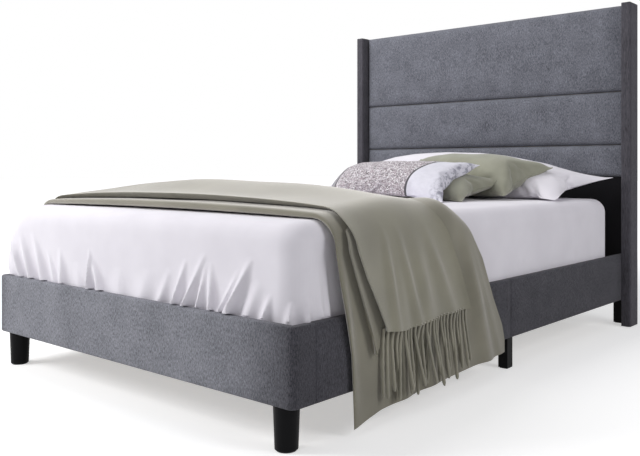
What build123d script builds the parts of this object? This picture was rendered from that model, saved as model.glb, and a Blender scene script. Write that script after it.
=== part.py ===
from build123d import *
import math
import os

# An upholstered bed frame with a winged, channelled headboard, dressed with a mattress, a sheet,
# a folded throw and four pillows. Sizes are in millimetres. +X is the right side seen from the
# foot, +Y points to the head and +Z up. The origin is on the floor under the middle of the bed.

# Driving sizes of the whole bed. The frame is built round its mattress.
mattress_width = 1372.0
mattress_length = 1905.0
mattress_side_gap = 3.0
mattress_foot_gap = 17.0
mattress_wing_gap = 59.0
headboard_height = 1385.0
leg_height = 112.0
rail_height = 195.0

# Headboard wings
wing_thickness = 40.0
wing_depth = 90.0
wing_core_thickness = 24.0
wing_core_depth = 72.0
wing_edge_round = 5.0
wing_cap = 6.0

# Rail boards and their padded covers
board_thickness = 14.0
pad_outside = 7.0
wrap_inside = 2.0
wrap_top = 5.0
wrap_bottom = 2.0
wrap_return = 40.0
rail_edge_round = 6.0
corner_radius = 20.0
corner_return = 79.0
mid_seam = 1038.0
seam_gap = 0.6

# Legs, corner blocks and floor glides
front_leg_top_diameter = 66.0
front_leg_foot_diameter = 58.0
front_leg_foot_round = 2.0
front_leg_side_inset = 62.0
front_leg_foot_inset = 42.0
corner_block_width = 95.0
corner_block_depth = 75.0
corner_block_height = 38.0
square_leg_size = 35.0
mid_leg_seam_offset = 35.5
glide_height = 3.0
glide_inset = 4.0

# Slats, cleats and the centre beam
slat_count = 13
slat_width = 70.0
slat_thickness = 18.0
slat_end_gap = 3.0
slat_margin = 55.0
slat_top = 250.0
cleat_width = 25.0
cleat_height = 28.0
cleat_end_gap = 6.0
beam_width = 45.0
beam_height = 45.0
beam_end_gap = 3.0
beam_splice_length = 180.0
beam_splice_thickness = 2.0
beam_splice_height = 38.0
hanger_thickness = 2.0
hanger_reach = 40.0
hanger_flange = 22.0
centre_leg_shares = (0.21, 0.58, 0.82)
webbing_width = 25.0
webbing_thickness = 1.2
webbing_offset = 400.0

# Steel plates, brackets and fasteners
plate_height = 45.0
corner_plate_length = 104.0
mid_plate_length = 160.0
plate_bolt_edge = 15.0
bracket_thickness = 3.0
bracket_rail_leg = 84.0
bracket_board_leg = 62.0
bolt_diameter = 6.0
bolt_head_diameter = 12.0
bolt_head_height = 4.0
hole_clearance = 0.2
leg_bolt_diameter = 8.0
leg_bolt_depth = 40.0
tee_nut_diameter = 22.0
tee_nut_thickness = 1.5
screw_diameter = 4.0
screw_head_diameter = 8.0
screw_head_height = 3.0
screw_length = 34.0

# Headboard panel: pads, backing board, timber frame and cloths
pad_setback = 46.0
pad_thickness = 18.0
pad_edge_round = 11.0
pad_side_gap = 1.0
channel_gap = 1.0
panel_top_drop = 3.0
upper_channel_height = 371.0
middle_channel_height = 232.0
lower_channel_height = 139.0
backing_thickness = 6.0
lining_thickness = 1.5
dust_cover_thickness = 1.0
stile_width = 60.0
cross_rail_height = 60.0
cross_rail_shares = (0.09, 0.36, 0.66)

# Mattress and sheet
mattress_thickness = 295.0
mattress_corner_radius = 70.0
mattress_top_round = 55.0
mattress_base_round = 18.0
sheet_thickness = 2.0
sheet_tuck_height = 12.0
sheet_fold_reach = 9.0
sheet_fold_foot_radius = 10.0
sheet_fold_tip_radius = 1.0
sheet_fold_foot_shares = (-0.86, -0.78, -0.62, -0.36, -0.05, 0.14, 0.32, 0.44, 0.57, 0.76)
sheet_fold_height_shares = (0.55, 0.62, 0.4, 0.6, 0.35, 0.45, 0.6, 0.5, 0.62, 0.4)
rest_gap = 0.3

# Folded throw, hanging over the right side
throw_rail_gap = 3.0
throw_shoulder = 80.0
throw_hang_thickness = 5.0
throw_layer_gap = 0.6
throw_lower_start = 152.0
throw_lower_width = 548.0
throw_lower_rise = 24.0
throw_lower_hem_start = 203.0
throw_lower_hem_width = 786.0
throw_lower_hem_height = 20.0
throw_left_hem_height = 330.0
throw_break_drop = 60.0
throw_fold_count = 6
throw_fold_depth = 7.0
throw_top_fold_depth = 1.0
throw_upper_start = 215.0
throw_upper_width = 357.0
throw_upper_rise = 48.0
throw_upper_edge_rise = 8.0
throw_upper_hem_start = 297.0
throw_upper_hem_width = 408.0
throw_upper_hem_height = 228.0
throw_upper_fold_count = 4
throw_upper_fold_depth = 3.0
tassel_count = 20
tassel_top_diameter = 5.0
tassel_tip_diameter = 8.0
tassel_length = 195.0
tassel_edge_margin = 10.0

# Pillows. Each has its size, how far it bulges above and below its seam, how far its sides are
# drawn in, its lean and turn in degrees, and its place: the middle's offset from the bed's middle
# line, the gap from its head edge to the headboard pads, and its front seam's height over the sheet.
white_pillow_length = 1380.0
white_pillow_depth = 462.0
white_pillow_crown = 140.0
white_pillow_belly = 60.0
white_pillow_pinch = 24.0
white_pillow_lean = 10.2
white_pillow_side = 15.0
white_pillow_head_gap = 95.0
white_pillow_lift = 9.0
sage_back_length = 720.0
sage_back_depth = 330.0
sage_back_crown = 104.0
sage_back_belly = 60.0
sage_back_pinch = 26.0
sage_back_lean = 18.6
sage_back_side = 190.0
sage_back_head_gap = 350.0
sage_back_lift = 27.0
sage_front_length = 660.0
sage_front_depth = 330.0
sage_front_crown = 66.0
sage_front_belly = 44.0
sage_front_pinch = 20.0
sage_front_lean = 8.0
sage_front_side = 120.0
sage_front_head_gap = 570.0
sage_front_lift = 26.0
patterned_length = 650.0
patterned_depth = 370.0
patterned_crown = 68.0
patterned_belly = 44.0
patterned_pinch = 24.0
patterned_lean = 18.6
patterned_turn = 6.7
patterned_side = 87.0
patterned_head_gap = 688.0
patterned_lift = 24.0
pillow_edge_thickness = 5.0
pillow_cut_gap = 0.6

# The pillow's rounding as level curves: height, half length and half depth at the middle of each
# side, and how far the corners are tucked in from a full rectangle. The long pillow falls away
# towards its ends all the way from its middle.
level_height_shares = (0.0, 0.32, 0.64, 0.88, 0.975, 1.0)
level_length_shares = (1.0, 0.965, 0.84, 0.62, 0.36, 0.12)
level_long_length_shares = (1.0, 0.86, 0.66, 0.44, 0.24, 0.08)
level_depth_shares = (1.0, 0.95, 0.8, 0.54, 0.3, 0.1)
level_corner_shares = (1.0, 0.88, 0.85, 0.81, 0.78, 0.76)

# Places that follow from the sizes above
rail_thickness = pad_outside + board_thickness + wrap_inside
rail_outer_width = mattress_width + 2 * mattress_side_gap + 2 * rail_thickness
rail_run = rail_thickness + mattress_foot_gap + mattress_length + mattress_wing_gap
overall_length = rail_run + wing_depth
foot_face = -overall_length / 2
head_face = overall_length / 2
half_width = rail_outer_width / 2
rail_bottom = leg_height
rail_top = rail_bottom + rail_height
rail_inner = half_width - rail_thickness
board_outer = half_width - pad_outside
board_inner = board_outer - board_thickness
board_bottom = rail_bottom + wrap_bottom
board_height = rail_height - wrap_bottom - wrap_top
window_bottom = rail_bottom + wrap_return
window_height = rail_height - 2 * wrap_return
return_end = foot_face + corner_return
seam_y = foot_face + mid_seam
pad_front = foot_face + rail_run + pad_setback
backing_front = pad_front + pad_thickness
frame_front = backing_front + backing_thickness
frame_back = head_face - dust_cover_thickness
frame_depth = frame_back - frame_front
lining_front = backing_front - lining_thickness
rail_end = lining_front - seam_gap
slat_bottom = slat_top - slat_thickness
cleat_bottom = slat_bottom - cleat_height
centre_leg_rows = [foot_face + share * rail_run for share in centre_leg_shares]
beam_bottom = slat_bottom - beam_height
plate_bottom = cleat_bottom - plate_height - bolt_head_height
plate_middle = plate_bottom + plate_height / 2
panel_top = headboard_height - panel_top_drop
upper_channel_bottom = panel_top - upper_channel_height
middle_channel_bottom = upper_channel_bottom - middle_channel_height
lower_channel_bottom = middle_channel_bottom - lower_channel_height
mattress_foot = foot_face + rail_thickness + mattress_foot_gap
mattress_base = slat_top + rest_gap
mattress_top = mattress_base + mattress_thickness
sheet_top = mattress_top + sheet_thickness
mattress_middle = mattress_foot + mattress_length / 2


def save(part, name):
    """Writes one named piece."""
    part.label = name
    export_step(part, f"parts/{name}.step")


def save_pair(right_part, name):
    """Writes a piece of the right side and its mirror image on the left."""
    save(mirror(right_part, about=Plane.YZ), f"left_{name}")
    save(right_part, f"right_{name}")


def block(x_range, y_range, z_range):
    """A plain board or bar between two places on each axis."""
    with BuildPart() as bar:
        with BuildSketch(Plane.XY.offset(z_range[0])):
            with Locations((sum(x_range) / 2, sum(y_range) / 2)):
                Rectangle(x_range[1] - x_range[0], y_range[1] - y_range[0])
        extrude(amount=z_range[1] - z_range[0])
    return bar.part


def across(y):
    """The upright plane across the bed at y, drawn in x and z. Its extrusions run to the foot."""
    return Plane.XZ.offset(-y)


def lengthways(x):
    """The upright plane along the bed at x, drawn in y and z. Its extrusions run to the right."""
    return Plane.YZ.offset(x)


os.makedirs("parts", exist_ok=True)


# Foot rail: a plywood board with glued return blocks, wrapped in foam and cloth round both corners
with BuildPart() as foot_board:
    with BuildSketch(Plane.XY.offset(board_bottom)):
        with Locations((0, foot_face + pad_outside + board_thickness / 2)):
            Rectangle(2 * board_outer, board_thickness)
        fillet(vertices().group_by(Axis.Y)[0], corner_radius - pad_outside)
    extrude(amount=board_height)
save(foot_board.part, "foot_rail_board")

block_start = foot_face + pad_outside + board_thickness
corner_bolt_rows = (
    block_start + plate_bolt_edge,
    return_end - plate_bolt_edge,
    return_end + plate_bolt_edge,
    return_end + corner_plate_length / 2 - plate_bolt_edge,
)
mid_bolt_rows = (
    seam_y - mid_plate_length / 2 + plate_bolt_edge,
    seam_y - plate_bolt_edge,
    seam_y + mid_plate_length / 2 - plate_bolt_edge,
)
mid_leg_y = seam_y + mid_leg_seam_offset
leg_bolt_rows = (plate_bottom + plate_bolt_edge, plate_bottom + plate_height - plate_bolt_edge)
bracket_rail_rows = (rail_end - bracket_rail_leg + plate_bolt_edge, rail_end - bracket_rail_leg / 2)
bracket_bolt_x = half_width - stile_width / 2 - plate_bolt_edge
hole_radius = bolt_diameter / 2 + hole_clearance


def drilled(piece, x_start, rows):
    """A side piece with bolt holes through it along x, at rows of (y, z)."""
    with BuildPart() as result:
        add(piece)
        with BuildSketch(lengthways(x_start)):
            with Locations(*rows):
                Circle(hole_radius)
        extrude(amount=2 * rail_thickness + square_leg_size, mode=Mode.SUBTRACT)
    return result.part


corner_bolts = [(y, plate_middle) for y in corner_bolt_rows]
mid_bolts = [(y, plate_middle) for y in mid_bolt_rows]
mid_leg_bolts = [(mid_leg_y, z) for z in leg_bolt_rows]
bracket_bolts = [(y, plate_middle) for y in bracket_rail_rows]

return_block = block(
    (board_inner, board_outer),
    (block_start, return_end),
    (board_bottom, board_bottom + board_height),
)
return_block = drilled(return_block, rail_inner - square_leg_size, corner_bolts)
save(Compound([return_block, mirror(return_block, about=Plane.YZ)]), "foot_return_blocks")

with BuildPart() as foot_cover:
    with BuildSketch(Plane.XY.offset(rail_bottom)):
        with Locations((0, foot_face + corner_return / 2)):
            Rectangle(rail_outer_width, corner_return - seam_gap)
        fillet(vertices().group_by(Axis.Y)[0], corner_radius)
    extrude(amount=rail_height)
    fillet(edges().group_by(Axis.Z)[-1].sort_by(Axis.Y)[:-1], rail_edge_round)
    fillet(edges().group_by(Axis.Z)[0].sort_by(Axis.Y)[:-1], rail_edge_round)
    with BuildSketch(Plane.XY.offset(rail_bottom)):
        with Locations((0, foot_face + rail_thickness + corner_return / 2)):
            Rectangle(2 * rail_inner, corner_return)
    extrude(amount=rail_height, mode=Mode.SUBTRACT)
    with BuildSketch(Plane.XY.offset(board_bottom)):
        with Locations((0, foot_face + pad_outside + corner_return / 2)):
            Rectangle(2 * board_outer, corner_return)
        fillet(vertices().group_by(Axis.Y)[0], corner_radius - pad_outside)
        with Locations((0, foot_face + pad_outside + board_thickness + corner_return / 2)):
            Rectangle(2 * board_inner, corner_return, mode=Mode.SUBTRACT)
    extrude(amount=board_height, mode=Mode.SUBTRACT)
    with BuildSketch(Plane.XY.offset(window_bottom)):
        with Locations((0, foot_face + pad_outside + board_thickness + corner_return / 2)):
            Rectangle(2 * board_inner, corner_return)
    extrude(amount=window_height, mode=Mode.SUBTRACT)
save(foot_cover.part, "foot_rail_cover")


# Side rails: each side is two padded boards that butt at the mid seam
def side_cover(y_range):
    """The foam and cloth round one half of a side rail: a sleeve stapled back on the inside."""
    with BuildPart() as cover:
        with BuildSketch(across(y_range[0])):
            with Locations((half_width - rail_thickness / 2, rail_bottom + rail_height / 2)):
                Rectangle(rail_thickness, rail_height)
            fillet(vertices().group_by(Axis.X)[-1], rail_edge_round)
            with Locations((board_outer - board_thickness / 2, board_bottom + board_height / 2)):
                Rectangle(board_thickness, board_height, mode=Mode.SUBTRACT)
            with Locations((board_inner - wrap_inside / 2, window_bottom + window_height / 2)):
                Rectangle(wrap_inside, window_height, mode=Mode.SUBTRACT)
        extrude(amount=-(y_range[1] - y_range[0]))
    return cover.part


board_x = (board_inner, board_outer)
board_z = (board_bottom, board_bottom + board_height)
foot_half = (return_end, seam_y)
head_half = (seam_y, rail_end)
drill_start = rail_inner - square_leg_size

foot_half_board = drilled(block(board_x, foot_half, board_z), drill_start, corner_bolts + mid_bolts)
head_half_board = drilled(
    block(board_x, head_half, board_z), drill_start, mid_bolts + mid_leg_bolts + bracket_bolts
)
save_pair(foot_half_board, "foot_side_board")
save_pair(head_half_board, "head_side_board")
save_pair(side_cover((foot_half[0] + seam_gap / 2, foot_half[1] - seam_gap / 2)), "foot_side_cover")
save_pair(side_cover((head_half[0] + seam_gap / 2, head_half[1])), "head_side_cover")

cleat_x = (board_inner - cleat_width, board_inner)


# Front legs: turned tapered legs on hanger bolts, under blocks glued into the foot corners
leg_x = half_width - front_leg_side_inset
leg_y = foot_face + front_leg_foot_inset
leg_bolt_radius = leg_bolt_diameter / 2

with BuildPart() as front_leg:
    with BuildSketch(Plane.XY.offset(glide_height)):
        with Locations((leg_x, leg_y)):
            Circle(front_leg_foot_diameter / 2)
    with BuildSketch(Plane.XY.offset(leg_height)):
        with Locations((leg_x, leg_y)):
            Circle(front_leg_top_diameter / 2)
    loft()
    fillet(edges().group_by(Axis.Z)[0], front_leg_foot_round)
    with BuildSketch(Plane.XY.offset(leg_height)):
        with Locations((leg_x, leg_y)):
            Circle(leg_bolt_radius + hole_clearance)
    extrude(amount=-leg_bolt_depth, mode=Mode.SUBTRACT)
save_pair(front_leg.part, "front_leg")

block_top = rail_bottom + corner_block_height
with BuildPart() as corner_block:
    add(
        block(
            (rail_inner - corner_block_width, rail_inner),
            (foot_face + rail_thickness, foot_face + rail_thickness + corner_block_depth),
            (rail_bottom, block_top),
        )
    )
    with BuildSketch(Plane.XY.offset(rail_bottom)):
        with Locations((leg_x, leg_y)):
            Circle(leg_bolt_radius + hole_clearance)
    extrude(amount=corner_block_height, mode=Mode.SUBTRACT)
save(
    Compound([corner_block.part, mirror(corner_block.part, about=Plane.YZ)]), "leg_corner_blocks"
)

with BuildPart() as leg_bolt:
    with BuildSketch(Plane.XY.offset(leg_height - leg_bolt_depth)):
        with Locations((leg_x, leg_y)):
            Circle(leg_bolt_radius)
    extrude(amount=leg_bolt_depth + corner_block_height)
with BuildPart() as tee_nut:
    with BuildSketch(Plane.XY.offset(block_top)):
        with Locations((leg_x, leg_y)):
            Circle(tee_nut_diameter / 2)
    extrude(amount=tee_nut_thickness)
leg_fixing = [leg_bolt.part, tee_nut.part]
save(
    Compound([*leg_fixing, *(mirror(piece, about=Plane.YZ) for piece in leg_fixing)]),
    "front_leg_fixings",
)

# Mid legs: square legs bolted to the inside of the rails just behind the seam
mid_leg_y_range = (mid_leg_y - square_leg_size / 2, mid_leg_y + square_leg_size / 2)
mid_leg = block(
    (rail_inner - square_leg_size, rail_inner), mid_leg_y_range, (glide_height, cleat_bottom)
)
save_pair(drilled(mid_leg, drill_start - bolt_head_height, mid_leg_bolts), "mid_leg")

# Centre beam: two timber halves spliced with steel plates, hung at both ends, on three square legs
beam_x = (-beam_width / 2, beam_width / 2)
beam_z = (beam_bottom, slat_bottom)
beam_start = foot_face + pad_outside + board_thickness + beam_end_gap
beam_end = lining_front - beam_end_gap
splice_y = seam_y
save(block(beam_x, (beam_start, splice_y), beam_z), "centre_beam_foot_half")
save(block(beam_x, (splice_y, beam_end), beam_z), "centre_beam_head_half")

splice_middle = (beam_bottom + slat_bottom) / 2
splice_plate = block(
    (beam_x[1], beam_x[1] + beam_splice_thickness),
    (splice_y - beam_splice_length / 2, splice_y + beam_splice_length / 2),
    (splice_middle - beam_splice_height / 2, splice_middle + beam_splice_height / 2),
)
hanger_top = slat_bottom - beam_height / 2
hanger_x = beam_width / 2 + hanger_thickness


def hanger(y_wall, reach):
    """A folded steel stirrup under a beam end, with two screw flanges. reach is signed along y."""
    y_range = sorted((y_wall, y_wall + reach))
    flange_y = sorted((y_wall, y_wall + math.copysign(hanger_thickness, reach)))
    with BuildPart() as stirrup:
        add(
            block(
                (-hanger_x, hanger_x), y_range, (beam_bottom - hanger_thickness, hanger_top)
            )
        )
        add(
            block(
                (-hanger_x - hanger_flange, hanger_x + hanger_flange),
                flange_y,
                (beam_bottom - hanger_thickness, hanger_top),
            )
        )
        add(block(beam_x, y_range, (beam_bottom, hanger_top)), mode=Mode.SUBTRACT)
    return stirrup.part


hangers = [
    hanger(foot_face + pad_outside + board_thickness, hanger_reach),
    hanger(lining_front, -hanger_reach),
]
save(
    Compound([splice_plate, mirror(splice_plate, about=Plane.YZ), *hangers]), "centre_beam_brackets"
)

centre_legs = [
    block(
        (-square_leg_size / 2, square_leg_size / 2),
        (y - square_leg_size / 2, y + square_leg_size / 2),
        (glide_height, beam_bottom),
    )
    for y in centre_leg_rows
]
save(Compound(centre_legs), "centre_legs")


# Joint plates on the inside of the rails, and brackets to the headboard
def joint_plate(y_range, bolts):
    """A flat steel plate let into the open inside of a rail cover."""
    plate = block((rail_inner, board_inner), y_range, (plate_bottom, plate_bottom + plate_height))
    return drilled(plate, drill_start, bolts)


corner_plate_y = (block_start, return_end + corner_plate_length / 2)
mid_plate_y = (seam_y - mid_plate_length / 2, seam_y + mid_plate_length / 2)
save_pair(joint_plate(corner_plate_y, corner_bolts), "corner_joint_plate")
save_pair(joint_plate(mid_plate_y, mid_bolts + mid_leg_bolts), "mid_joint_plate")

bracket_z = (plate_bottom, plate_bottom + plate_height)
bracket_inner = board_inner - bracket_thickness
with BuildPart() as bracket:
    add(
        drilled(
            block((bracket_inner, board_inner), (rail_end - bracket_rail_leg, rail_end), bracket_z),
            drill_start,
            bracket_bolts,
        )
    )
    add(
        block(
            (board_inner - bracket_board_leg, board_inner),
            (rail_end - bracket_thickness, rail_end),
            bracket_z,
        )
    )
    with BuildSketch(across(frame_back)):
        with Locations((bracket_bolt_x, plate_middle)):
            Circle(hole_radius)
    extrude(amount=frame_back - rail_end + bracket_thickness, mode=Mode.SUBTRACT)
save_pair(bracket.part, "headboard_bracket")


def side_bolt(y, z, head_x, tip_x):
    """A bolt along x through a side rail, its head on the inside."""
    with BuildPart() as bolt:
        with BuildSketch(lengthways(head_x - bolt_head_height)):
            with Locations((y, z)):
                Circle(bolt_head_diameter / 2)
        extrude(amount=bolt_head_height)
        with BuildSketch(lengthways(head_x)):
            with Locations((y, z)):
                Circle(bolt_diameter / 2)
        extrude(amount=tip_x - head_x)
    return bolt.part


rail_bolts = [side_bolt(y, z, rail_inner, board_outer) for y, z in corner_bolts + mid_bolts]
rail_bolts += [
    side_bolt(y, z, rail_inner - square_leg_size, board_outer) for y, z in mid_leg_bolts
]
rail_bolts += [side_bolt(y, z, bracket_inner, board_outer) for y, z in bracket_bolts]
save(Compound([*rail_bolts, *(mirror(b, about=Plane.YZ) for b in rail_bolts)]), "rail_bolts")

bracket_face = rail_end - bracket_thickness
with BuildPart() as headboard_bolt:
    with BuildSketch(across(bracket_face)):
        with Locations((bracket_bolt_x, plate_middle)):
            Circle(bolt_head_diameter / 2)
    extrude(amount=bolt_head_height)
    with BuildSketch(across(bracket_face)):
        with Locations((bracket_bolt_x, plate_middle)):
            Circle(bolt_diameter / 2)
    extrude(amount=-(frame_back - bracket_face))
save(
    Compound([headboard_bolt.part, mirror(headboard_bolt.part, about=Plane.YZ)]),
    "headboard_bolts",
)

# Slats: a roll of pine slats joined by two webbing strips, screwed down at three places
slat_half = board_inner - slat_end_gap
slat_first = block_start + slat_margin
slat_last = lining_front - slat_margin
slat_pitch = (slat_last - slat_first) / (slat_count - 1)
slat_rows = [slat_first + i * slat_pitch for i in range(slat_count)]
screw_rows = (slat_rows[0], slat_rows[slat_count // 2 - 1], slat_rows[-1])
screw_x = board_inner - cleat_width / 2

screw_radius = screw_diameter / 2
screw_head_radius = screw_head_diameter / 2
screw_places = [(x, y) for y in screw_rows for x in (-screw_x, screw_x)]

slat_solids = []
for y in slat_rows:
    with BuildPart() as slat:
        add(
            block(
                (-slat_half, slat_half),
                (y - slat_width / 2, y + slat_width / 2),
                (slat_bottom, slat_top),
            )
        )
        if y in screw_rows:
            with Locations((-screw_x, y, slat_top), (screw_x, y, slat_top)):
                CounterBoreHole(
                    screw_radius + hole_clearance,
                    screw_head_radius + hole_clearance,
                    screw_head_height,
                    slat_thickness,
                )
    slat_solids.append(slat.part)
save(Compound(slat_solids), "slats")

webbing = [
    block(
        (x - webbing_width / 2, x + webbing_width / 2),
        (slat_first - slat_width / 2, slat_last + slat_width / 2),
        (slat_bottom - webbing_thickness, slat_bottom),
    )
    for x in (-webbing_offset, webbing_offset)
]
save(Compound(webbing), "slat_webbing")

slat_screws = []
for x, y in screw_places:
    with BuildPart() as slat_screw:
        with BuildSketch(Plane.XY.offset(slat_top)):
            with Locations((x, y)):
                Circle(screw_head_radius)
        extrude(amount=-screw_head_height)
        with BuildSketch(Plane.XY.offset(slat_top)):
            with Locations((x, y)):
                Circle(screw_radius)
        extrude(amount=-screw_length)
    slat_screws.append(slat_screw.part)
save(Compound(slat_screws), "slat_screws")


def screwed_cleat(y_range):
    """A right-hand cleat with pilot holes for the slat screws over it."""
    with BuildPart() as cleat:
        add(block(cleat_x, y_range, (cleat_bottom, slat_bottom)))
        for y in screw_rows:
            if y_range[0] < y < y_range[1]:
                with BuildSketch(Plane.XY.offset(slat_bottom)):
                    with Locations((screw_x, y)):
                        Circle(screw_radius + hole_clearance)
                extrude(amount=slat_thickness - screw_length - hole_clearance, mode=Mode.SUBTRACT)
    return cleat.part


save_pair(
    screwed_cleat((foot_half[0] + cleat_end_gap, foot_half[1] - cleat_end_gap)), "foot_slat_cleat"
)
save_pair(
    screwed_cleat((head_half[0] + cleat_end_gap, head_half[1] - cleat_end_gap)), "head_slat_cleat"
)

# Headboard frame: two black stiles that are also its legs, cross rails and a backing board
stile_x = (half_width - stile_width, half_width - pad_side_gap)
with BuildPart() as stile:
    add(block(stile_x, (frame_front, frame_back), (glide_height, panel_top)))
    with BuildSketch(across(frame_back)):
        with Locations((bracket_bolt_x, plate_middle)):
            Circle(hole_radius)
    extrude(amount=frame_depth, mode=Mode.SUBTRACT)
save_pair(stile.part, "headboard_stile")

cross_span = (-stile_x[0], stile_x[0])
panel_height = panel_top - rail_bottom
cross_rail_tops = [rail_bottom + share * panel_height for share in cross_rail_shares] + [panel_top]
cross_rails = [
    block(cross_span, (frame_front, frame_back), (top - cross_rail_height, top))
    for top in cross_rail_tops
]
save(Compound(cross_rails), "headboard_cross_rails")

panel_x = (-half_width + pad_side_gap, half_width - pad_side_gap)


def bracket_holed(piece, y_back, depth):
    """A headboard sheet with the two bracket bolt holes, drilled from y_back to the foot side."""
    with BuildPart() as result:
        add(piece)
        with BuildSketch(across(y_back)):
            with Locations((-bracket_bolt_x, plate_middle), (bracket_bolt_x, plate_middle)):
                Circle(hole_radius)
        extrude(amount=depth, mode=Mode.SUBTRACT)
    return result.part


backing = block(panel_x, (backing_front, frame_front), (rail_bottom, panel_top))
save(bracket_holed(backing, frame_front, backing_thickness), "headboard_backing_board")
lining = block(panel_x, (lining_front, backing_front), (rail_bottom, lower_channel_bottom))
save(bracket_holed(lining, backing_front, lining_thickness), "headboard_lining")
save(block(panel_x, (frame_back, head_face), (rail_bottom, panel_top)), "headboard_dust_cover")


def channel_pad(bottom, top):
    """One upholstered channel of the headboard, flat at the back and rounded all round in front."""
    with BuildPart() as pad:
        with BuildSketch(across(backing_front)):
            with Locations((0, (bottom + top) / 2)):
                Rectangle(panel_x[1] - panel_x[0], top - bottom)
        extrude(amount=pad_thickness)
        fillet(faces().sort_by(Axis.Y)[0].edges(), pad_edge_round)
    return pad.part


save(channel_pad(upper_channel_bottom + channel_gap, panel_top), "headboard_upper_pad")
save(
    channel_pad(middle_channel_bottom + channel_gap, upper_channel_bottom), "headboard_middle_pad"
)
save(channel_pad(lower_channel_bottom, middle_channel_bottom), "headboard_lower_pad")

# Wings: a timber post in a padded sleeve on each side of the headboard
wing_middle_x = half_width + wing_thickness / 2
wing_middle_y = head_face - wing_depth / 2
core_top = headboard_height - wing_cap
with BuildPart() as wing_core:
    with BuildSketch(Plane.XY.offset(glide_height)):
        with Locations((wing_middle_x, wing_middle_y)):
            Rectangle(wing_core_thickness, wing_core_depth)
    extrude(amount=core_top - glide_height)
save_pair(wing_core.part, "wing_post")

with BuildPart() as wing_cover:
    with BuildSketch(Plane.XY.offset(glide_height)):
        with Locations((wing_middle_x, wing_middle_y)):
            RectangleRounded(wing_thickness, wing_depth, wing_edge_round)
    extrude(amount=headboard_height - glide_height)
    fillet(edges().group_by(Axis.Z)[-1], wing_edge_round / 2)
    with BuildSketch(Plane.XY.offset(glide_height)):
        with Locations((wing_middle_x, wing_middle_y)):
            Rectangle(wing_core_thickness, wing_core_depth)
    extrude(amount=core_top - glide_height, mode=Mode.SUBTRACT)
save_pair(wing_cover.part, "wing_cover")


# Floor glides under every foot
def pad_glide(x_range, y_range):
    """A low plastic pad, inset from the edge of the foot above it."""
    return block(
        (x_range[0] + glide_inset, x_range[1] - glide_inset),
        (y_range[0] + glide_inset, y_range[1] - glide_inset),
        (0, glide_height),
    )


with BuildPart() as round_glide:
    with BuildSketch():
        with Locations((leg_x, leg_y)):
            Circle(front_leg_foot_diameter / 2 - glide_inset)
    extrude(amount=glide_height)
wing_core_x = (wing_middle_x - wing_core_thickness / 2, wing_middle_x + wing_core_thickness / 2)
wing_core_y = (wing_middle_y - wing_core_depth / 2, wing_middle_y + wing_core_depth / 2)
side_glides = [
    round_glide.part,
    pad_glide((rail_inner - square_leg_size, rail_inner), mid_leg_y_range),
    pad_glide(stile_x, (frame_front, frame_back)),
    pad_glide(wing_core_x, wing_core_y),
]
centre_glides = [
    pad_glide(
        (-square_leg_size / 2, square_leg_size / 2),
        (y - square_leg_size / 2, y + square_leg_size / 2),
    )
    for y in centre_leg_rows
]
save(
    Compound([*side_glides, *(mirror(g, about=Plane.YZ) for g in side_glides), *centre_glides]),
    "floor_glides",
)


# Mattress and sheet: the sheet is a thin skin over the same form, gathered above the foot rail
def bedding_block(grow, base):
    """The mattress form, larger by grow on every side, from the height base up."""
    top = mattress_top + grow
    with BuildPart() as form:
        with BuildSketch(Plane.XY.offset(base)):
            with Locations((0, mattress_middle)):
                RectangleRounded(
                    mattress_width + 2 * grow,
                    mattress_length + 2 * grow,
                    mattress_corner_radius + grow,
                )
        extrude(amount=top - base)
        fillet(edges().group_by(Axis.Z)[-1], mattress_top_round + grow)
    return form.part


with BuildPart() as mattress:
    add(bedding_block(0, mattress_base))
    fillet(edges().group_by(Axis.Z)[0], mattress_base_round)
save(mattress.part, "mattress_core")

sheet_base = mattress_base + mattress_base_round + sheet_tuck_height
sheet_side = mattress_top - mattress_top_round - rail_top
with BuildPart() as sheet:
    add(bedding_block(sheet_thickness, sheet_base))
    for side_share, height_share in zip(sheet_fold_foot_shares, sheet_fold_height_shares):
        fold_x = side_share * (mattress_width / 2 - mattress_corner_radius)
        fold_y = mattress_foot - sheet_thickness + sheet_fold_foot_radius - sheet_fold_reach
        with BuildSketch(Plane.XY.offset(rail_top + rest_gap)):
            with Locations((fold_x, fold_y)):
                Circle(sheet_fold_foot_radius)
        with BuildSketch(Plane.XY.offset(rail_top + height_share * sheet_side)):
            with Locations((fold_x, mattress_foot)):
                Circle(sheet_fold_tip_radius)
        loft()
    add(bedding_block(0, sheet_base), mode=Mode.SUBTRACT)
save(sheet.part, "fitted_sheet")

# Throw: one soft blanket in two folded layers, laid across the bed and hanging to the floor
hang_x = half_width + throw_rail_gap
hang_top = sheet_top + rest_gap
shoulder_z = hang_top - throw_shoulder
shoulder_x = hang_x - throw_shoulder
quarter = math.sqrt(2) / 2
trough_share = 0.25
break_z = shoulder_z - throw_break_drop


def shoulder_middle(thick):
    """A point halfway round the shoulder curve, thick away from its inner side."""
    return (
        shoulder_x + (throw_shoulder + thick) * quarter,
        shoulder_z + (throw_shoulder + thick) * quarter,
    )


def flip(point):
    """The same point on the left side."""
    return (-point[0], point[1])


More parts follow.
